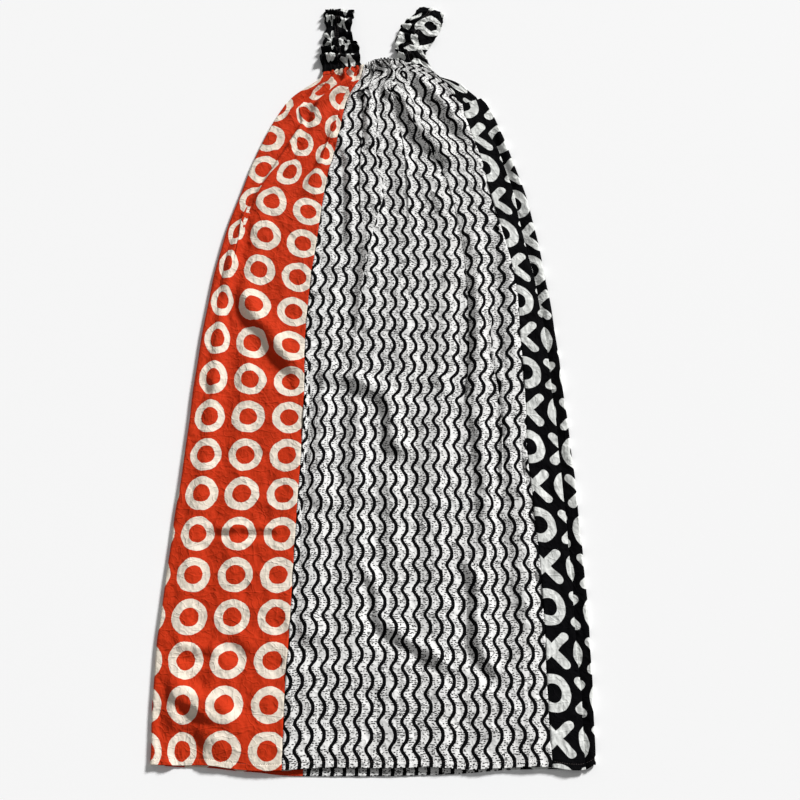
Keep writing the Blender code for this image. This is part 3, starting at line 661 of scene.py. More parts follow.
def make_shell(name, shell, node, material):
    """The closed mesh of a shell. It rides on the root body and stands for a CAD node."""
    half = shell.normals() * (shell.thick / 2)[:, :, None]
    outer = shell.points + half
    inner = shell.points - half
    count = shell.u.size
    points = np.concatenate([outer.reshape(-1, 3), inner.reshape(-1, 3)])
    points[:, 2] = np.maximum(points[:, 2], 0)
    points = in_metres(points)
    top = grid_faces(shell.cells, shell.u.shape[1], 0)
    rim = rim_faces(top, count)
    faces = np.concatenate([top, top[:, ::-1] + count, rim])
    used = np.zeros(2 * count, bool)
    used[faces.ravel()] = True
    number = np.cumsum(used) - 1
    faces = number[faces]
    mesh = bpy.data.meshes.new(name)
    mesh.vertices.add(int(used.sum()))
    mesh.vertices.foreach_set("co", points[used].ravel())
    mesh.loops.add(faces.size)
    mesh.loops.foreach_set("vertex_index", faces.ravel().astype(np.int32))
    mesh.polygons.add(len(faces))
    mesh.polygons.foreach_set("loop_start", np.arange(0, faces.size, 4, dtype=np.int32))
    mesh.update(calc_edges=True)
    smooth = np.ones(len(faces), bool)
    smooth[-len(rim) :] = False
    mesh.polygons.foreach_set("use_smooth", smooth)
    cloth = np.stack([shell.u.ravel(), shell.v.ravel()], axis=1) * MM
    cloth = np.concatenate([cloth, cloth])[used]
    layer = mesh.uv_layers.new(name="Cloth")
    layer.data.foreach_set("uv", cloth[faces.ravel()].ravel())
    mesh.validate()
    made = new_object(name, mesh)
    mesh.materials.append(material)
    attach(made, "root")
    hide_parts(node)
    return made


def front_surface(x, y, relief, from_hem, below, along, to_seam, seed):
    """Height of a front panel's cloth: folds and creases, stitch dents and the dip at its seam."""
    extra = relief + crumple(x, y, seed) * smooth_step(from_hem / HEM_CALM)
    dents = stitch_dent(from_hem, below, along) - SEAM_DIP * near(to_seam, DIP_REACH)
    return front_height(x, y, extra) + LIFT + dents


def front_centre(material):
    share = row_distances(PANEL_LENGTH) / PANEL_LENGTH
    folds = (CENTRE_TUCKS, CENTRE_GATHERS, CENTRE_ANCHORS)
    rows = []
    for up in share:
        y = mix(CENTRE_HEM, CENTRE_TOP, up)
        left, right = [float(seam(y)) for seam in SEAMS["front"]]
        cuts = [float(cut(y)) for cut in CENTRE_CUTS]
        below = PANEL_LENGTH * (1 - up)
        rows.append(folded_row(y, left, right - left, CENTRE_CLOTH, cuts, below, CENTRE_SPACES, *folds))
    s, t, relief = [np.stack(values) for values in zip(*rows)]
    x, y, below = seam_points("front", t, share[:, None])
    from_hem = run_length(x, y)
    to_seam = np.minimum(s - s[:, :1], s[:, -1:] - s)
    z = front_surface(x, y, relief, from_hem, below, s, to_seam, seed=1.0)
    shell = Shell(np.stack([x, y, z], axis=2), s, from_hem, thickness(from_hem, below))
    runs = [surface_run(shell, row, slice(1, -1)) for row in (FRONT_HEM_ROW, FRONT_CASING_ROW)]
    shell.add_allowance("left")
    shell.add_allowance("right")
    made = make_shell("front_centre_cloth", shell, "front_centre_panel", material)
    return made, runs


def back_relief(x, y, t, below, count, seed):
    """Slight troughs of the underside: gathers at the neck and a few creases."""
    waves = np.sin(2 * math.pi * count * t + 0.7 * np.sin(count * t * 1.7))
    gathers = np.maximum(0, waves) * near(below, 60)
    creases = np.maximum(0, crumple(x, y, seed) - 0.2) * smooth_step(below / 80)
    return 0.6 * gathers + 0.55 * creases


def back_surface(relief, from_hem, below, thick):
    """Height of cloth that lies on the ground, drawn up along its stitch lines."""
    return relief + thick / 2 + channel(from_hem, below)


def back_centre(material):
    share = row_distances(PANEL_LENGTH)[::2] / PANEL_LENGTH
    share = np.append(share, 1.0) if share[-1] < 1 else share
    t = np.linspace(0, 1, BACK_SPACES + 1)[None, :] * np.ones((len(share), 1))
    x, y, below = seam_points("back", t, share[:, None])
    from_hem = run_length(x, y)
    thick = thickness(from_hem, below)
    relief = back_relief(x, y, t, below, count=26, seed=2.0)
    z = back_surface(relief, from_hem, below, thick)
    shell = Shell(np.stack([x, y, z], axis=2), t * BACK_CLOTH, from_hem, thick)
    run = shell.points[BACK_HEM_ROW, 2:-2]
    made = make_shell("back_centre_cloth", shell, "back_centre_panel", material)
    return made, [under(run)]


def fold_arc(side, edge_y, first, last, spaces):
    """The rounded edge where a side panel turns from one layer to the other, without its ends."""
    low = CLOTH / 2
    radius = (EDGE_HEIGHT + LIFT - low) / 2
    inward = radius if side == "left" else -radius
    sway = EDGE_SWAY * math.sin(edge_y / 23) * math.sin(edge_y / 61 + 1)
    angles = np.radians(np.linspace(first, last, spaces + 2)[1:-1])
    x = float(EDGES[side + "_fold"](edge_y)) + inward + radius * np.cos(angles) + sway * np.cos(angles) ** 2
    return np.stack([x, np.full(spaces, edge_y), low + radius + radius * np.sin(angles)], axis=1)


def near_top(share_up):
    """One at the upper edge and nothing below the last twentieth of the panel."""
    return smooth_step(20 * share_up - 19)


def level_y(layer, x, edge_y, seam_x, seam_y, t, share_up):
    """Heights from a panel's edge to its seam, bent to the hem's and the upper edge's curves."""
    hem = HEM[layer](x) - mix(HEM_OF_EDGE, HEM[layer](seam_x), t)
    top = TOP[layer](x) - mix(TOP_OF_EDGE, TOP[layer](seam_x), t)
    return mix(edge_y, seam_y, t) + hem * (1 - share_up) + top * near_top(share_up)


def back_stretch(side, edge_y, share_up, spaces):
    """The part of a side panel that lies under the front layer, from its fold to its back seam."""
    inward = EDGE_RADIUS if side == "left" else -EDGE_RADIUS
    edge = float(EDGES[side + "_fold"](edge_y)) + inward
    seam_x, seam_y = seam_end("back", side, share_up)
    t = np.linspace(0, 1, spaces + 1)
    x = mix(edge, seam_x, t)
    return x, level_y("back", x, edge_y, seam_x, seam_y, t, share_up), t


def back_half(side, x, y, t, from_hem, below, thick, count, seed):
    """Height of the part of a side panel that lies on the ground."""
    inside = smooth_step(np.abs(x - EDGES[side + "_fold"](y)) / FOLD_CALM)
    return back_surface(back_relief(x, y, t, below, count, seed) * inside, from_hem, below, thick)


ORANGE_FRONT = 88
ORANGE_ARC = 10
ORANGE_BACK = 44
ORANGE_TILTS = [
    (560, 0.0, 0.0), (630, 0.05, 0.06), (700, 0.1, 0.14), (790, 0.16, 0.2), (835, 0.18, 0.21),
    (935, 0.12, 0.28), (1036, 0.0, 0.4), (1100, 0.0, 0.5),
]
ORANGE_DRIFT = [
    (0, 35.5), (235, 35.0), (433, 33.2), (631, 30.6), (767, 33.1), (902, 34.4), (1035, 34.1),
    (1097, 30.3), (1160, 25.5), (1250, 18.0),
]
RING_PITCH = 66.7
RING_OFFSET = 22.4


def orange_along(x, y, front):
    """The ring print's place along the cloth, which is dragged down towards the neck seam."""
    tilt = columns(ORANGE_TILTS, "y left right")
    drift = columns(ORANGE_DRIFT, "y drift")["drift"](y)
    middle = EDGES["left_seam"](y) - RING_OFFSET - RING_PITCH
    off = x - middle
    slant = np.where(off < 0, tilt["left"](y), tilt["right"](y))
    return y - drift + slant * off * front


def orange_row(up):
    """One level of the orange panel, from its back seam round the left fold to its front seam."""
    edge_y = float(mix(HEM_OF_EDGE, TOP_OF_EDGE, up))
    seam_x, seam_y = seam_end("front", "left", up)
    left = float(EDGES["left_fold"](edge_y)) + EDGE_RADIUS
    cloth = float(ORANGE_WIDTH(edge_y))
    cuts = [0.0, float(ORANGE_SEAM_CUT(edge_y))]
    folds = (TOP_OF_EDGE - edge_y, ORANGE_FRONT, ORANGE_TUCKS, ORANGE_GATHERS, ORANGE_ANCHORS)
    s, t, relief = folded_row(edge_y, left, seam_x - left, cloth, cuts, *folds)
    x = mix(left, seam_x, t)
    y = level_y("front", x, edge_y, seam_x, seam_y, t, up)
    back_x, back_y, back_t = back_stretch("left", edge_y, up, ORANGE_BACK)
    turn = fold_arc("left", edge_y, 270, 90, ORANGE_ARC)
    turned = TURN_LENGTH * (1 - np.arange(1, ORANGE_ARC + 1) / (ORANGE_ARC + 1))
    back_u = TURN_LENGTH + back_t * ORANGE_BACK_CLOTH
    stretches = [
        (back_x[::-1], turn[:, 0], x),
        (back_y[::-1], turn[:, 1], y),
        (cloth + back_u[::-1], cloth + turned, cloth - s),
        (back_t[::-1],),
        (turn[:, 2],),
        (relief,),
    ]
    return [np.concatenate(parts) for parts in stretches]


def orange_side(material):
    share = row_distances(PANEL_LENGTH) / PANEL_LENGTH
    rows = [orange_row(up) for up in share]
    x, y, u, back_t, turn_z, relief = [np.stack(values) for values in zip(*rows)]
    turn_start, turn_end = ORANGE_BACK + 1, ORANGE_BACK + 1 + ORANGE_ARC
    from_hem, below = run_length(x, y), run_length(x[::-1], y[::-1])[::-1]
    thick = thickness(from_hem, below)
    front = [values[:, turn_end:] for values in (x, y, from_hem, below, u, u - u[:, -1:])]
    z_front = front_surface(*front[:2], relief, *front[2:], seed=3.0)
    x_back, y_back, *back = [values[:, :turn_start] for values in (x, y, from_hem, below, thick)]
    z_back = back_half("left", x_back, y_back, back_t, *back, count=12, seed=4.0)
    z = np.concatenate([z_back, turn_z, z_front], axis=1)
    cells = np.ones((x.shape[0] - 1, x.shape[1] - 1), bool)
    open_rows = mix(HEM_OF_EDGE, TOP_OF_EDGE, share[:-1]) > LEFT_ARMHOLE
    cells[open_rows, ORANGE_BACK:turn_end] = False
    v = orange_along(x, y, np.arange(x.shape[1]) >= turn_end)
    shell = Shell(np.stack([x, y, z], axis=2), u - u[:, -1:], v, thick, cells)
    runs = [
        surface_run(shell, FRONT_HEM_ROW, slice(ORANGE_BACK + ORANGE_ARC // 2, -1)),
        surface_run(shell, FRONT_CASING_ROW, slice(turn_end + 1, -1)),
        under(shell.points[FRONT_HEM_ROW, 1 : ORANGE_BACK - 1]),
        under(shell.points[FRONT_CASING_ROW, 1 : ORANGE_BACK - 1]),
    ]
    shell.add_allowance("right")
    made = make_shell("orange_side_cloth", shell, "orange_side_panel", material)
    return made, runs


def line(ax, az, bx, bz, spaces):
    """Points of an eased line across the garment, without its first one."""
    share = np.linspace(0, 1, spaces + 1)[1:]
    return np.stack([mix(ax, bx, share), mix(az, bz, smooth_step(share))], axis=1)


def arc(centre_x, centre_z, radius, first, last, spaces):
    """Points of an arc across the garment, without its first one."""
    angles = np.radians(np.linspace(first, last, spaces + 1)[1:])
    return np.stack([centre_x + radius * np.cos(angles), centre_z + radius * np.sin(angles)], axis=1)


def pleated_section(y, seam, at_seam):
    """Section of the black panel's front, from its seam over the pleat to the right fold."""
    edge = float(EDGES["right_fold"](y)) - EDGE_RADIUS
    low = FRONT_LOWEST
    middle, high = low + PLEAT_LAYER, low + 2 * PLEAT_LAYER
    radius = PLEAT_LAYER / 2
    crease = float(EDGES["pleat"](y)) + 0.6 * math.sin(y / 17) * math.sin(y / 71)
    under = crease - float(PLEAT_DEPTH(y))
    stretches = [
        [(seam, at_seam)],
        line(seam, at_seam, crease - radius, high, 20),
        arc(crease - radius, high - radius, radius, 90, -90, 8),
        line(crease - radius, middle, under + radius, middle, 6),
        arc(under + radius, middle - radius, radius, 90, 270, 8),
        line(under + radius, low, crease - PLEAT_TUCK, low, 6),
        line(crease - PLEAT_TUCK, low, edge, EDGE_HEIGHT, 10),
    ]
    pleated = np.concatenate(stretches)
    share = np.linspace(0, 1, len(pleated))
    plain = np.stack([mix(seam, edge, share), mix(at_seam, EDGE_HEIGHT, smooth_step(share))], axis=1)
    fades_out, full = PLEAT_FADES
    return mix(plain, pleated, smooth_step((fades_out - y) / (fades_out - full)))


BLACK_ARC = 10
BLACK_BACK = 36
BLACK_TO_CREASE = 21
BLACK_PAST_CREASE = 8
BLACK_RELIEF = 0.6
ABOVE_ARMHOLE = 20
NO_CASING = 99.0
CROSS_PITCH = 65.6
CROSS_SPACE_ACROSS = 60.5
CROSS_SLANT = 0.1
CROSS_START = 54.5
CROSS_OFFSET = 9.0
BLACK_FOLDS = [
    Fold("arm_crease", 6, 2.0, 0, [(166, 1170), (182, 1110), (200, 1050)]),
    Fold("side_crease", 7, 2.2, 0, [(206, 1140), (228, 1040), (246, 960)]),
    Fold("low_crease", 6, 2.0, 0, [(276, 560), (284, 480), (292, 400)]),
    Fold("edge_crease", 5, 1.8, 0, [(300, 250), (312, 160), (322, 60)]),
]


def black_row(edge_y):
    """One level of the black panel, from its front seam round the right fold to its back seam.

    The back's heights come later, so its places between fold and seam take their room here.
    """
    up = min(1.0, (edge_y - HEM_OF_EDGE) / (RIGHT_ARMHOLE - HEM_OF_EDGE))
    seam_x, seam_y = seam_end("front", "right", up)
    at_seam = float(front_height(np.array([seam_x]), np.array([seam_y]))[0])
    front_y = min(edge_y, RIGHT_ARMHOLE)
    x, z = pleated_section(front_y, seam_x, at_seam).T
    t = (x - seam_x) / (x[-1] - seam_x)
    hem = HEM["front"](x) - mix(HEM["front"](seam_x), HEM_OF_EDGE, t)
    y = mix(seam_y, front_y, t) + hem * (1 - up)
    back_up = (edge_y - HEM_OF_EDGE) / (TOP_OF_EDGE - HEM_OF_EDGE)
    back_x, back_y, back_t = back_stretch("right", edge_y, back_up, BLACK_BACK)
    turn = fold_arc("right", edge_y, 90, -90, BLACK_ARC)
    turned = TURN_LENGTH * np.arange(1, BLACK_ARC + 1) / (BLACK_ARC + 1)
    u = float(BLACK_SEAM_CUT(front_y)) + run_length(x, z)
    stretches = [
        (x, turn[:, 0], back_x),
        (y, turn[:, 1], back_y),
        (z + LIFT, turn[:, 2], back_t),
        (u, u[-1] + turned, u[-1] + TURN_LENGTH + back_t * BLACK_BACK_CLOTH),
    ]
    return [np.concatenate(parts) for parts in stretches]


def black_side(material):
    share = row_distances(PANEL_LENGTH) / PANEL_LENGTH
    levels = mix(HEM_OF_EDGE, RIGHT_ARMHOLE, share)
    last = len(levels) - 1
    above = np.linspace(RIGHT_ARMHOLE, TOP_OF_EDGE, ABOVE_ARMHOLE)[1:]
    rows = [black_row(edge_y) for edge_y in np.concatenate([levels, above])]
    x, y, z, u = [np.stack(values) for values in zip(*rows)]
    turn_start = x.shape[1] - BLACK_ARC - BLACK_BACK - 1
    turn_end = turn_start + BLACK_ARC
    from_hem, below = run_length(x, y), run_length(x[::-1], y[::-1])[::-1]
    below[:, :turn_start] -= below[last, :turn_start]
    x_front, y_front, u_front = [values[:, :turn_start] for values in (x, y, u)]
    relief = crumple(x_front, y_front, 5.0) + 0.5 * fold_height(x_front, y_front, BLACK_FOLDS)
    to_pleat = np.abs(x_front - EDGES["pleat"](y_front))
    on_top = smooth_step((x_front - x[:, :1]) / PLEAT_CALM) * smooth_step(to_pleat / PLEAT_CALM)
    dents = stitch_dent(from_hem[:, :turn_start], below[:, :turn_start] + NO_CASING, u_front)
    dents -= SEAM_DIP * near(u_front - u[:, :1], DIP_REACH)
    z[:, :turn_start] += BLACK_RELIEF * relief * on_top + dents
    thick = thickness(from_hem, np.where(np.arange(x.shape[1]) < turn_start, NO_CASING, below))
    x_back, y_back, back_t, *back = [values[:, turn_end:] for values in (x, y, z, from_hem, below, thick)]
    z[:, turn_end:] = back_half("right", x_back, y_back, back_t, *back, count=9, seed=6.0)
    cells = np.ones((x.shape[0] - 1, x.shape[1] - 1), bool)
    cells[last:, :turn_end] = False
    shell = Shell(np.stack([x, y, z], axis=2), u, y - CROSS_START, thick, cells)
    past_crease = slice(turn_start - BLACK_PAST_CREASE, turn_start + BLACK_ARC // 2)
    runs = [surface_run(shell, FRONT_HEM_ROW, part) for part in (slice(1, BLACK_TO_CREASE), past_crease)]
    runs.append(under(shell.points[FRONT_HEM_ROW, turn_end + 2 : -1]))
    shell.add_allowance("left")
    made = make_shell("black_side_cloth", shell, "black_side_panel", material)
    return made, runs


STRAP_ACROSS = 46
STRAP_ALONG = 230
STRAP_BACK_ROWS = 90
STRAP_FOLD_SPACES = 12
STRAP_LINES = (-2, 2)
STRAP_LOWEST = 3.2
STRAP_CROWN = 1.6
STRAP_FOOT = 12.0
STRAP_ENDS = (14.0, 10.0)
LEVEL_ROWS = 30
SCALLOP = 1.5
STRAP_CRUMPLE = [(2.6, 9.0, 30.0), (1.6, 17.0, 15.0), (0.8, 8.0, 9.0)]
# The cloth that a strap's length holds, its ruffles, how much of them its right side has, its print's
# place, and how wide the cloth that shows is and how much of it small folds and pleats hide.
StrapLook = namedtuple("StrapLook", "share ruffles right_share across along seed wide hidden pleated")
LEFT_LOOK = StrapLook(1.7, 7, 0.8, 43.0, 20.0, 0.0, 66.0, 15.0, 0.85)
RIGHT_LOOK = StrapLook(1.3, 9, 0.35, -9.0, 66.0, 1.7, 36.0, 8.0, 0.25)


class StrapPlan:
    """Where a strap lies: its left edge, gathered line and right edge at each place along it."""

    def __init__(self, table):
        self.end = table[-1][0]
        self.curves = columns(table, STRAP_COLUMNS)

    def point(self, which, at):
        return np.stack([self.curves[which + "_x"](at), self.curves[which + "_y"](at)], axis=-1)

    def points(self, at, across):
        """Plan points for arrays of places along and across from -1 to 1."""
        left, middle, right = [self.point(which, at) for which in ("left", "line", "right")]
        share = np.abs(across)[..., None]
        return np.where(across[..., None] < 0, mix(middle, left, share), mix(middle, right, share))

    def length(self):
        middle = self.point("line", np.linspace(0, self.end, 60))
        return float(run_length(*middle.T)[-1])


def ruffled(q, across, length, swing, look):
    """Slope angle of the ruffles at places q along the strip and across it."""
    turn = 2 * math.pi * look.ruffles * q / length
    seed = look.seed
    lag = np.where(across < 0, 1.1, 0.0) + 1.1 * np.abs(across) + 0.6 * np.sin(2.3 * across + seed)
    wander = 1.3 * np.sin(turn * 0.31 + seed) + 0.8 * np.sin(turn * 0.57 + 2 * across + seed)
    fine = 0.45 * near(across, 0.25) * np.sin(3 * turn + 1.7 * np.sin(turn * 0.4))
    broad = swing * (0.72 + 0.28 * np.sin(turn * 0.23 + 3 * across + seed))
    smoother = mix(1.0, look.right_share, smooth_step(across * 2 + 0.3))
    return (broad * np.sin(turn + lag + wander) + fine) * smoother


def strap_crumple(q, across, seed):
    """The hard small creases of a strap that was pulled together on elastic."""
    total = np.zeros(np.broadcast(q, across).shape)
    for height, wide, long in STRAP_CRUMPLE:
        for i, j in np.ndindex(total.shape):
            place = Vector((36 * across[0, j] / wide, q[i, 0] / long, seed + wide))
            total[i, j] += height * (0.35 - 2 * abs(noise.noise(place)))
    return total


def pinched(u, v, seed):
    """How far small folds shift the cloth that shows, from -1 to 1."""
    places = zip(np.ravel(u) / 15, np.ravel(v) / 30)
    return np.reshape([noise.noise(Vector((a, b, seed))) for a, b in places], u.shape)


def inside_pleats(place, pitch, share):
    """Places on cloth whose motifs, a pitch apart, lie mostly inside small pleats."""
    return place + share * pitch / (2 * math.pi) * np.sin(2 * math.pi * place / pitch)


def seated(xy, layer, from_neck):
    """A strap's plan points, its foot drawn to the neck edge that it is sewn to."""
    at_edge = TOP[layer](xy[:, :, 0]) + SEAM_GAP
    xy[:, :, 1] = mix(xy[:, :, 1], at_edge, 1 - smooth_step(from_neck / STRAP_FOOT))
    return xy


def strap_front(plan, cloth, across, look):
    """The front half's points, ruffled and crumpled, from the neck up to the fold."""
    swing = float(np.interp(-1 / look.share, -FILLED, SWINGS))
    q = np.linspace(0, cloth, STRAP_ALONG + 1)[:, None]
    slope = between(ruffled(q, across, cloth, swing, look))
    step = cloth / STRAP_ALONG
    along, height = running(np.cos(slope) * step), running(np.sin(slope) * step)
    along = along / along[-1] * plan.end
    height -= np.linspace(0, 1, len(height))[:, None] * height[-1]
    box = np.full(2 * LEVEL_ROWS + 1, 1 / (2 * LEVEL_ROWS + 1))
    for _ in range(2):
        padded = np.pad(height, ((LEVEL_ROWS, LEVEL_ROWS), (0, 0)), mode="edge")
        height = height - np.stack([np.convolve(column, box, mode="valid") for column in padded.T], 1)
    ends = smooth_step(q / STRAP_ENDS[0]) * smooth_step((cloth - q) / STRAP_ENDS[1])
    narrowed = height * mix(0.55, 1.0, np.abs(across) ** 0.8)
    crown = STRAP_CROWN * (1 - across**2)
    raised = (narrowed + strap_crumple(q, across, look.seed) + crown) * ends
    xy = plan.points(along, across * np.ones_like(along))
    turns = 2 * math.pi * look.ruffles * q / cloth
    scallop = SCALLOP * np.sin(turns + 0.7 + look.seed + 1.2 * np.sin(0.37 * turns))
    xy[:, :, 0] += scallop * across * np.abs(across) * ends * np.where(across > 0, look.right_share, 1.0)
    xy = seated(xy, "front", along * plan.length() / plan.end)
    z = soft_floor(STRAP_HEIGHT + LIFT + raised, STRAP_LOWEST)
    return np.concatenate([xy, z[:, :, None]], axis=2)


def strap_turn(front, cloth, across, look):
    """The soft fold at the top, where the strip turns over to the back."""
    low = CLOTH / 2
    radius = (STRAP_HEIGHT + LIFT - low) / 2
    ahead = (front[-1, :, :2] - front[-4, :, :2]).mean(axis=0)
    ahead /= np.linalg.norm(ahead)
    bumps = 1 + 0.3 * np.sin(9 * across[0] + look.seed)
    around = math.pi * np.arange(1, STRAP_FOLD_SPACES) / STRAP_FOLD_SPACES
    points = np.repeat(front[-1:], len(around), axis=0)
    points[:, :, :2] += ahead * radius * np.sin(around)[:, None, None] * bumps[:, None]
    points[:, :, 2] = low + radius + radius * np.cos(around)[:, None]
    return points, cloth + radius * around


def strap_back(plan, gone, across, look):
    """The back half's points, lightly rippled, from the fold down to the back neck."""
    left = (1 - gone) * plan.end * np.ones_like(across)
    xy = seated(plan.points(left, 0.93 * across * np.ones_like(left)), "back", (1 - gone) * plan.length())
    ripple = np.sin(2 * math.pi * look.ruffles * gone + 0.8 * across + look.seed)
    ripple = np.maximum(0, ripple) * np.abs(across)
    z = CLOTH / 2 + 1.4 * ripple * smooth_step(gone * 8) * smooth_step((1 - gone) * 8)
    return np.concatenate([xy, z[:, :, None]], axis=2)


def strap_print(v, across, look):
    """The places on the print that show where the strip's cloth is pinched and pleated."""
    u = look.wide * across * np.ones_like(v)
    hidden = look.hidden * mix(1.0, look.right_share**2, smooth_step(across * 3))
    u, v = u + hidden * pinched(u, v, look.seed), v + hidden * pinched(u, v, look.seed + 9)
    u = inside_pleats(u + look.across - CROSS_OFFSET, CROSS_SPACE_ACROSS, look.pleated) + CROSS_OFFSET
    return u, inside_pleats(v + look.along, CROSS_PITCH, look.pleated)


def strap(side, table, look, material):
    """A strip gathered along its middle: up from the front neck, over a soft fold and down behind."""
    plan = StrapPlan(table)
    cloth = plan.length() * look.share
    across = np.linspace(-1, 1, STRAP_ACROSS + 1)[None, :]
    gone = np.linspace(0, 1, STRAP_BACK_ROWS + 1)[:, None]
    front = strap_front(plan, cloth, across, look)
    turn, turned = strap_turn(front, cloth, across, look)
    back = strap_back(plan, gone, across, look)
    v = np.concatenate([np.linspace(0, cloth, STRAP_ALONG + 1), turned, turned[-1] + gone[:, 0] * cloth])
    u, v = strap_print(v[:, None] * np.ones_like(across), across, look)
    shell = Shell(np.concatenate([front, turn, back]), u, v, CLOTH)
    made = make_shell(side + "_strap_cloth", shell, side + "_strap", material)
    rows = slice(4, len(front) - 2)
    return made, [surface_run(shell, rows, STRAP_ACROSS // 2 + beside) for beside in STRAP_LINES]


def feed(tree, slot, value):
    """Gives a node's slot a constant, or a link from a field."""
    if isinstance(value, Field):
        tree.links.new(value.socket, slot)
    else:
        slot.default_value = value


class Field:
    """A value in a material's node tree. Arithmetic on it adds Math nodes."""

    def __init__(self, tree, socket):
        self.tree, self.socket = tree, socket

    def math(self, operation, *others, clamp=False):
        node = self.tree.nodes.new("ShaderNodeMath")
        node.operation = operation
        node.use_clamp = clamp
        for slot, value in zip(node.inputs, (self, *others)):
            feed(self.tree, slot, value)
        return Field(self.tree, node.outputs[0])

    def __add__(self, other):
        return self.math("ADD", other)

    def __sub__(self, other):
        return self.math("SUBTRACT", other)

    def __mul__(self, other):
        return self.math("MULTIPLY", other)

    def __truediv__(self, other):
        return self.math("DIVIDE", other)

    def under(self, other):
        return self.math("MINIMUM", other)

    def over(self, other):
        return self.math("MAXIMUM", other)

    def absolute(self):
        return self.math("ABSOLUTE")

    def sine(self):
        return self.math("SINE")

    def nearest(self):
        """How far the value is from the nearest whole number, with its sign."""
        return self - self.math("ROUND")

    def whole(self):
        return self.math("ROUND")

    def root(self):
        return self.math("SQRT")

    def below(self, limit, soft):
        """One below the limit and nothing above it, over a soft edge."""
        return ((self * -1.0 + limit) / soft + 0.5).math("ADD", 0.0, clamp=True)


class Cotton:
    """A printed cotton: its print is drawn by a function of the cloth coordinates in millimetres."""

    def __init__(self, name, roughness, specular):
        self.material = bpy.data.materials.new(name)
        self.material.use_nodes = True
        self.tree = self.material.node_tree
        self.surface = self.tree.nodes["Principled BSDF"]
        self.surface.inputs["Roughness"].default_value = roughness
        self.surface.inputs["Specular IOR Level"].default_value = specular
        cloth = self.tree.nodes.new("ShaderNodeUVMap")
        cloth.uv_map = "Cloth"
        self.u, self.v = [part * 1000.0 for part in self.parts("XYZ", cloth.outputs["UV"])]

    def parts(self, kind, whole):
        """The first two parts of a vector or a colour."""
        split = self.tree.nodes.new("ShaderNodeSeparate" + kind)
        self.tree.links.new(whole, split.inputs[0])
        return [Field(self.tree, part) for part in split.outputs[:2]]

    def vector(self, x, y, z=0.0):
        node = self.tree.nodes.new("ShaderNodeCombineXYZ")
        for slot, value in zip(node.inputs, (x, y, z)):
            feed(self.tree, slot, value)
        return node.outputs[0]

    def noise(self, across, along, detail=2.0, seed=0.0):
        """Soft noise from 0 to 1 with spots of this size in mm."""
        node = self.tree.nodes.new("ShaderNodeTexNoise")
        node.inputs["Scale"].default_value = 1.0
        node.inputs["Detail"].default_value = detail
        self.tree.links.new(self.vector(self.u / across, self.v / along, seed), node.inputs["Vector"])
        return Field(self.tree, node.outputs[0])

    def wobble(self, spots, detail, reach):
        """Two uneven shifts of a print's place, in spots of this size."""
        return [(self.noise(spots, spots, detail, seed) - 0.5) * reach for seed in (1.0, 7.0)]

    def random(self, x, y):
        """Two random values from 0 to 1 for each whole place."""
        node = self.tree.nodes.new("ShaderNodeTexWhiteNoise")
        node.noise_dimensions = "2D"
        self.tree.links.new(self.vector(x, y), node.inputs["Vector"])
        return self.parts("Color", node.outputs["Color"])

    def blend(self, share, first, second):
        """The first colour where share is 0 and the second where it is 1."""
        node = self.tree.nodes.new("ShaderNodeMix")
        node.data_type = "RGBA"
        for slot, value in zip((node.inputs[0], *node.inputs[6:8]), (share, first, second)):
            feed(self.tree, slot, value)
        return Field(self.tree, node.outputs[2])

    def finish(self, colour):
        """Links the colour, and the bump of wrinkles, thread and weave."""
        self.tree.links.new(colour.socket, self.surface.inputs["Base Color"])
        warp = (self.u * (2 * math.pi / WEAVE_PITCH)).sine() * (self.v * (math.pi / WEAVE_PITCH)).sine()
        height = warp * WEAVE_HEIGHT + self.noise(*SLUB) * SLUB_HEIGHT
        for *spots, rise in SOFT_CREASES:
            height = height + (self.noise(*spots) - 0.5).absolute() * rise
        for spots in SHARP_CREASES:
            crest = (self.noise(*spots) - 0.5).absolute().below(0.012, 0.04)
            height = height + crest * SHARP_HEIGHT
        bump = self.tree.nodes.new("ShaderNodeBump")
        bump.inputs["Strength"].default_value = 1.0
        bump.inputs["Distance"].default_value = MM
        self.tree.links.new(height.socket, bump.inputs["Height"])
        self.tree.links.new(bump.outputs[0], self.surface.inputs["Normal"])
        return self.material


# Noise that makes creases and slubs: its size across and along, its detail and its seed. Each soft
# crease has its height in mm after them.
SOFT_CREASES = [(13, 17, 2, 4, -2.5), (31, 36, 2, 9, -5.5), (25, 52, 1.5, 14, 4.5)]
SHARP_CREASES = [(42, 60, 1, 31), (64, 30, 1, 37), (24, 20, 1, 43)]
SHARP_HEIGHT = 0.45
SLUB = (0.8, 14, 1, 2)
SLUB_HEIGHT = 0.05
WEAVE_HEIGHT = 0.02
WEAVE_PITCH = 0.5
INK_EDGE = 0.35

ORANGE = (0.58, 0.036, 0.005, 1)
ORANGE_DEEP = (0.46, 0.026, 0.004, 1)
CREAM = (0.84, 0.75, 0.64, 1)
CREAM_WORN = (0.74, 0.65, 0.53, 1)
WHITE = (0.86, 0.86, 0.85, 1)
WHITE_DULL = (0.74, 0.73, 0.71, 1)
INK = (0.003, 0.003, 0.0035, 1)
BLACK = (0.0015, 0.0015, 0.002, 1)
BLACK_WORN = (0.0045, 0.0045, 0.005, 1)
MOTIF = (0.83, 0.84, 0.81, 1)
MOTIF_STREAK = (0.52, 0.53, 0.51, 1)
THREAD_DARK = (0.02, 0.014, 0.012, 1)
THREAD_PALE = (0.09, 0.05, 0.04, 1)
FLOOR_COLOUR = (0.95, 0.95, 0.95, 1)

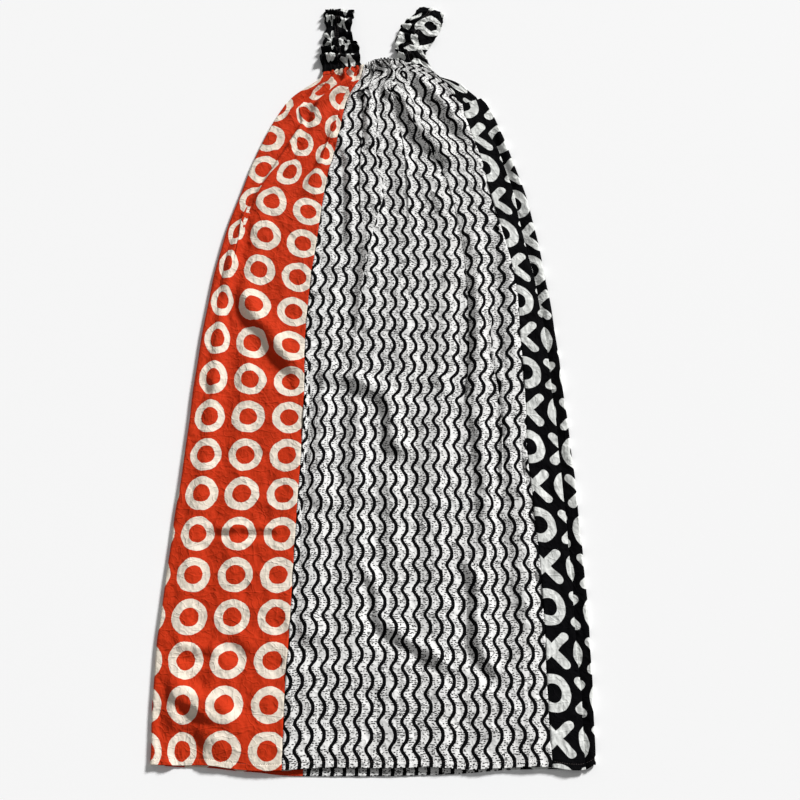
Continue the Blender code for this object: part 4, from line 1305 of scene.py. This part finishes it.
RING_RADIUS = 28.0
RING_HOLE = 15.2
RING_SPACE_ACROSS = 67.6
LINE_PITCH = 18.0
LINE_START = 4.5
LINE_HALF = 2.8
LINE_SWAY = 4.3
LINE_PERIOD = 40.0
LINE_PHASE = 26.4
MARKS = [(4.4, 3.5, 0.8, 1.6, 0.8, 0.66, 11.0), (3.3, 2.9, 0.7, 0.6, 0.75, 0.0, 21.0)]
CIRCLE_RADIUS = 29.0
CIRCLE_NARROW = 1.08
CIRCLE_HOLE = 14.4
ARM_HALF = 7.0
ARM_END = 36.5


def ring_print():
    """Cream rings in even rows on orange."""
    cotton = Cotton("orange_ring_print", 0.8, 0.12)
    wobble_u, wobble_v = cotton.wobble(17.0, 2.0, 4.0)
    column = (cotton.u - RING_OFFSET + wobble_u) / RING_SPACE_ACROSS
    row = (cotton.v + wobble_v) / RING_PITCH
    away_u, away_v = column.nearest() * RING_SPACE_ACROSS, row.nearest() * RING_PITCH
    radius = (away_u * away_u + away_v * away_v).root()
    size, hole = cotton.random(column.whole(), row.whole())
    edge = (cotton.noise(2.2, 2.2, 1.0, 3.0) - 0.5) * 0.9
    outside = (radius + edge).below(size * 1.2 + (RING_RADIUS - 0.6), INK_EDGE)
    inside = (radius + edge).below(hole + (RING_HOLE - 0.5), INK_EDGE)
    ring = outside - inside
    ground = cotton.blend(cotton.noise(26.0, 40.0, 3.0, 5.0), ORANGE_DEEP, ORANGE)
    cream = cotton.blend(cotton.noise(15.0, 15.0, 4.0, 6.0), CREAM_WORN, CREAM)
    return cotton.finish(cotton.blend(ring, ground, cream))


def small_marks(cotton, cell_across, cell_along, shortest, longer, half_height, kept_share, seed):
    """Short level dashes strewn one to a cell, crowded in some places and few in others."""
    across, along = cotton.u / cell_across, cotton.v / cell_along
    spots = cotton.tree.nodes.new("ShaderNodeTexVoronoi")
    spots.voronoi_dimensions = "2D"
    spots.inputs["Scale"].default_value = 1.0
    spots.inputs["Randomness"].default_value = 0.8
    cotton.tree.links.new(cotton.vector(across, along + seed), spots.inputs["Vector"])
    centre_u, centre_v = cotton.parts("XYZ", spots.outputs["Position"])
    long, kept = cotton.parts("Color", spots.outputs["Color"])
    off_u = (across - centre_u).absolute() * cell_across
    off_v = (along + seed - centre_v).absolute() * cell_along
    size = (off_u / (long * longer + shortest)).over(off_v / half_height)
    crowd = cotton.noise(17.0, 24.0, 2.0, seed)
    return size.below(1.0, 0.5) * (kept - crowd * 3.0).below(kept_share - 1.5, 0.05)


def wave_print():
    """Thick black wavy lines down a white ground that is strewn with small black marks."""
    cotton = Cotton("wave_print", 0.85, 0.03)
    turn = (cotton.v - LINE_PHASE) * (2 * math.pi / LINE_PERIOD)
    swing = (turn + math.pi / 2).sine() * -1.0 - (turn * 2.0 + math.pi / 2).sine() * 0.16
    slope = turn.sine() * (LINE_SWAY * 2 * math.pi / LINE_PERIOD)
    ragged = (cotton.noise(1.5, 1.3, 1.0, 2.0) - 0.5) * 1.5
    shift = (cotton.noise(60.0, 30.0, 1.0, 8.0) - 0.5) * 2.0
    away = ((cotton.u - LINE_START + shift - swing * LINE_SWAY) / LINE_PITCH).nearest() * LINE_PITCH
    away = away.absolute() / (slope * slope + 1.0).root()
    lines = (away + ragged).below(LINE_HALF, INK_EDGE)
    printed = lines
    for kind in MARKS:
        printed = printed.over(small_marks(cotton, *kind))
    ground = cotton.blend(cotton.noise(9.0, 14.0, 3.0, 5.0), WHITE_DULL, WHITE)
    return cotton.finish(cotton.blend(printed, ground, INK))


def cross_print():
    """Off-white crosses and rings in turn on black."""
    cotton = Cotton("cross_and_ring_print", 0.8, 0.025)
    wobble_u, wobble_v = cotton.wobble(19.0, 1.0, 3.5)
    column = (cotton.u - CROSS_OFFSET + wobble_u) / CROSS_SPACE_ACROSS
    row = (cotton.v + wobble_v + (cotton.u - CROSS_OFFSET) * CROSS_SLANT) / CROSS_PITCH
    off_u, off_v = column.nearest() * CROSS_SPACE_ACROSS, row.nearest() * CROSS_PITCH
    odd = ((column.whole() + row.whole()) / 2.0).nearest().absolute().math("GREATER_THAN", 0.25)
    wide = off_u * CIRCLE_NARROW
    radius = (wide * wide + off_v * off_v).root()
    circle = radius.below(CIRCLE_RADIUS, INK_EDGE) - radius.below(CIRCLE_HOLE, INK_EDGE)
    first = (off_u + off_v).absolute() * math.sqrt(0.5)
    second = (off_u - off_v).absolute() * math.sqrt(0.5)
    arms = []
    for along, across in ((first, second), (second, first)):
        past = (along - (ARM_END - ARM_HALF)).over(0.0)
        arms.append((past * past + across * across).root())
    cross = arms[0].under(arms[1]).below(ARM_HALF, INK_EDGE)
    motif = circle * odd + cross * (odd * -1.0 + 1.0)
    streaks = cotton.noise(5.0, 16.0, 3.0, 5.0)
    pale = cotton.blend((streaks - 0.32).math("MULTIPLY", 3.2, clamp=True), MOTIF_STREAK, MOTIF)
    ground = cotton.blend(cotton.noise(18.0, 30.0, 3.0, 6.0), BLACK, BLACK_WORN)
    return cotton.finish(cotton.blend(motif, ground, pale))


def one_stitch(start, end):
    """Points and faces of one stitch, a thread with pointed ends that dive into the cloth."""
    along = end - start
    along = along / np.linalg.norm(along)
    side = np.cross(along, [0.0, 0.0, 1.0])
    side = side / np.linalg.norm(side)
    up = np.cross(side, along)
    ring = [
        math.cos(turn) * side * THREAD + math.sin(turn) * up * THREAD
        for turn in np.linspace(0, 2 * math.pi, STITCH_SIDES, endpoint=False)
    ]
    points = [start - 0.6 * THREAD * up]
    for at, swell in ((0.22, 0.82), (0.5, 1.0), (0.78, 0.82)):
        points += [mix(start, end, at) + swell * offset for offset in ring]
    points.append(end - 0.6 * THREAD * up)
    faces = []
    for k in range(STITCH_SIDES):
        nxt = (k + 1) % STITCH_SIDES
        faces.append((0, 1 + nxt, 1 + k))
        for level in (0, 1):
            low = 1 + level * STITCH_SIDES
            high = low + STITCH_SIDES
            faces.append((low + k, low + nxt, high + nxt, high + k))
        faces.append((1 + 2 * STITCH_SIDES + k, 1 + 2 * STITCH_SIDES + nxt, len(points) - 1))
    return points, faces


def stitches(name, runs, material):
    """The stitches along all of a panel's stitch lines, in one mesh."""
    points, faces = [], []
    for run in runs:
        lengths = running(np.linalg.norm(np.diff(run, axis=0), axis=1))
        for start in np.arange(0.6, lengths[-1] - STITCH_LENGTH, STITCH_SPACE):
            both = (start, start + STITCH_LENGTH)
            ends = np.stack([np.interp(both, lengths, run[:, k]) for k in range(3)], axis=1)
            if np.linalg.norm(ends[1] - ends[0]) < 0.5 * STITCH_LENGTH:
                continue
            new_points, new_faces = one_stitch(*ends)
            faces += [[index + len(points) for index in face] for face in new_faces]
            points += new_points
    placed = in_metres(np.array(points))
    placed[:, 2] = np.maximum(placed[:, 2], 0.00001)
    mesh = bpy.data.meshes.new(name)
    mesh.from_pydata(placed.tolist(), [], faces)
    mesh.shade_smooth()
    made = new_object(name, mesh)
    mesh.materials.append(material)
    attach(made, "root")
    return made


def thread_material():
    material = bpy.data.materials.new("sewing_thread")
    material.use_nodes = True
    surface = material.node_tree.nodes["Principled BSDF"]
    surface.inputs["Roughness"].default_value = 0.6
    surface.inputs["Sheen Weight"].default_value = 0.2
    twist = material.node_tree.nodes.new("ShaderNodeTexNoise")
    twist.inputs["Scale"].default_value = 2400.0
    shades = material.node_tree.nodes.new("ShaderNodeMix")
    shades.data_type = "RGBA"
    shades.inputs[6].default_value = THREAD_DARK
    shades.inputs[7].default_value = THREAD_PALE
    material.node_tree.links.new(twist.outputs[0], shades.inputs["Factor"])
    material.node_tree.links.new(shades.outputs[2], surface.inputs["Base Color"])
    return material


# The studio: a pale floor, a soft key light from the upper right and an even fill.
CAMERA_PLACE = (40.85, -750.9, 1805.0)
CAMERA_TILT = 19.9
FOCAL_PIXELS = 1150.0
PICTURE_PIXELS = 800.0
SENSOR = 36.0
KEY_TURN = 48.0
KEY_HEIGHT = 30.0
KEY_SOFTNESS = 11.0
KEY_STRENGTH = 4.5
FILL_STRENGTH = 0.25
FLOOR_HALF = 6.0
FLOOR_LEVEL = -0.0003


def make_camera():
    camera = new_object("camera", bpy.data.cameras.new("camera"))
    camera.location = Vector(CAMERA_PLACE) * MM
    camera.rotation_euler = (math.radians(CAMERA_TILT), 0, 0)
    camera.data.sensor_width = SENSOR
    camera.data.lens = SENSOR * FOCAL_PIXELS / PICTURE_PIXELS
    bpy.context.scene.camera = camera


def make_lights():
    lamp = new_object("key", bpy.data.lights.new("key", "SUN"))
    lamp.data.energy = KEY_STRENGTH
    lamp.data.angle = math.radians(KEY_SOFTNESS)
    turn, height = math.radians(KEY_TURN), math.radians(KEY_HEIGHT)
    level = math.cos(height)
    toward = Vector((math.cos(turn) * level, math.sin(turn) * level, math.sin(height)))
    lamp.rotation_mode = "QUATERNION"
    lamp.rotation_quaternion = toward.to_track_quat("Z", "Y")
    world = bpy.data.worlds.new("studio")
    world.use_nodes = True
    background = world.node_tree.nodes["Background"]
    background.inputs["Color"].default_value = (1, 1, 1, 1)
    background.inputs["Strength"].default_value = FILL_STRENGTH
    bpy.context.scene.world = world
    bpy.context.scene.view_settings.view_transform = "Standard"


def make_floor():
    mesh = bpy.data.meshes.new("floor")
    corners = [(-1, -1), (1, -1), (1, 1), (-1, 1)]
    mesh.from_pydata([(FLOOR_HALF * x, FLOOR_HALF * y, FLOOR_LEVEL) for x, y in corners], [], [(0, 1, 2, 3)])
    paint = bpy.data.materials.new("floor_paper")
    paint.use_nodes = True
    surface = paint.node_tree.nodes["Principled BSDF"]
    surface.inputs["Base Color"].default_value = FLOOR_COLOUR
    surface.inputs["Roughness"].default_value = 0.9
    mesh.materials.append(paint)
    new_object("floor", mesh)


make_camera()
make_lights()
make_floor()
WAVES, RINGS, CROSSES = wave_print(), ring_print(), cross_print()
THREAD_COTTON = thread_material()
panels = {
    "front_centre": front_centre(WAVES),
    "back_centre": back_centre(WAVES),
    "orange_side": orange_side(RINGS),
    "black_side": black_side(CROSSES),
    "left_strap": strap("left", LEFT_STRAP, LEFT_LOOK, CROSSES),
    "right_strap": strap("right", RIGHT_STRAP, RIGHT_LOOK, CROSSES),
}
sewn = {name: stitches(name + "_stitches", runs, THREAD_COTTON) for name, (_, runs) in panels.items()}
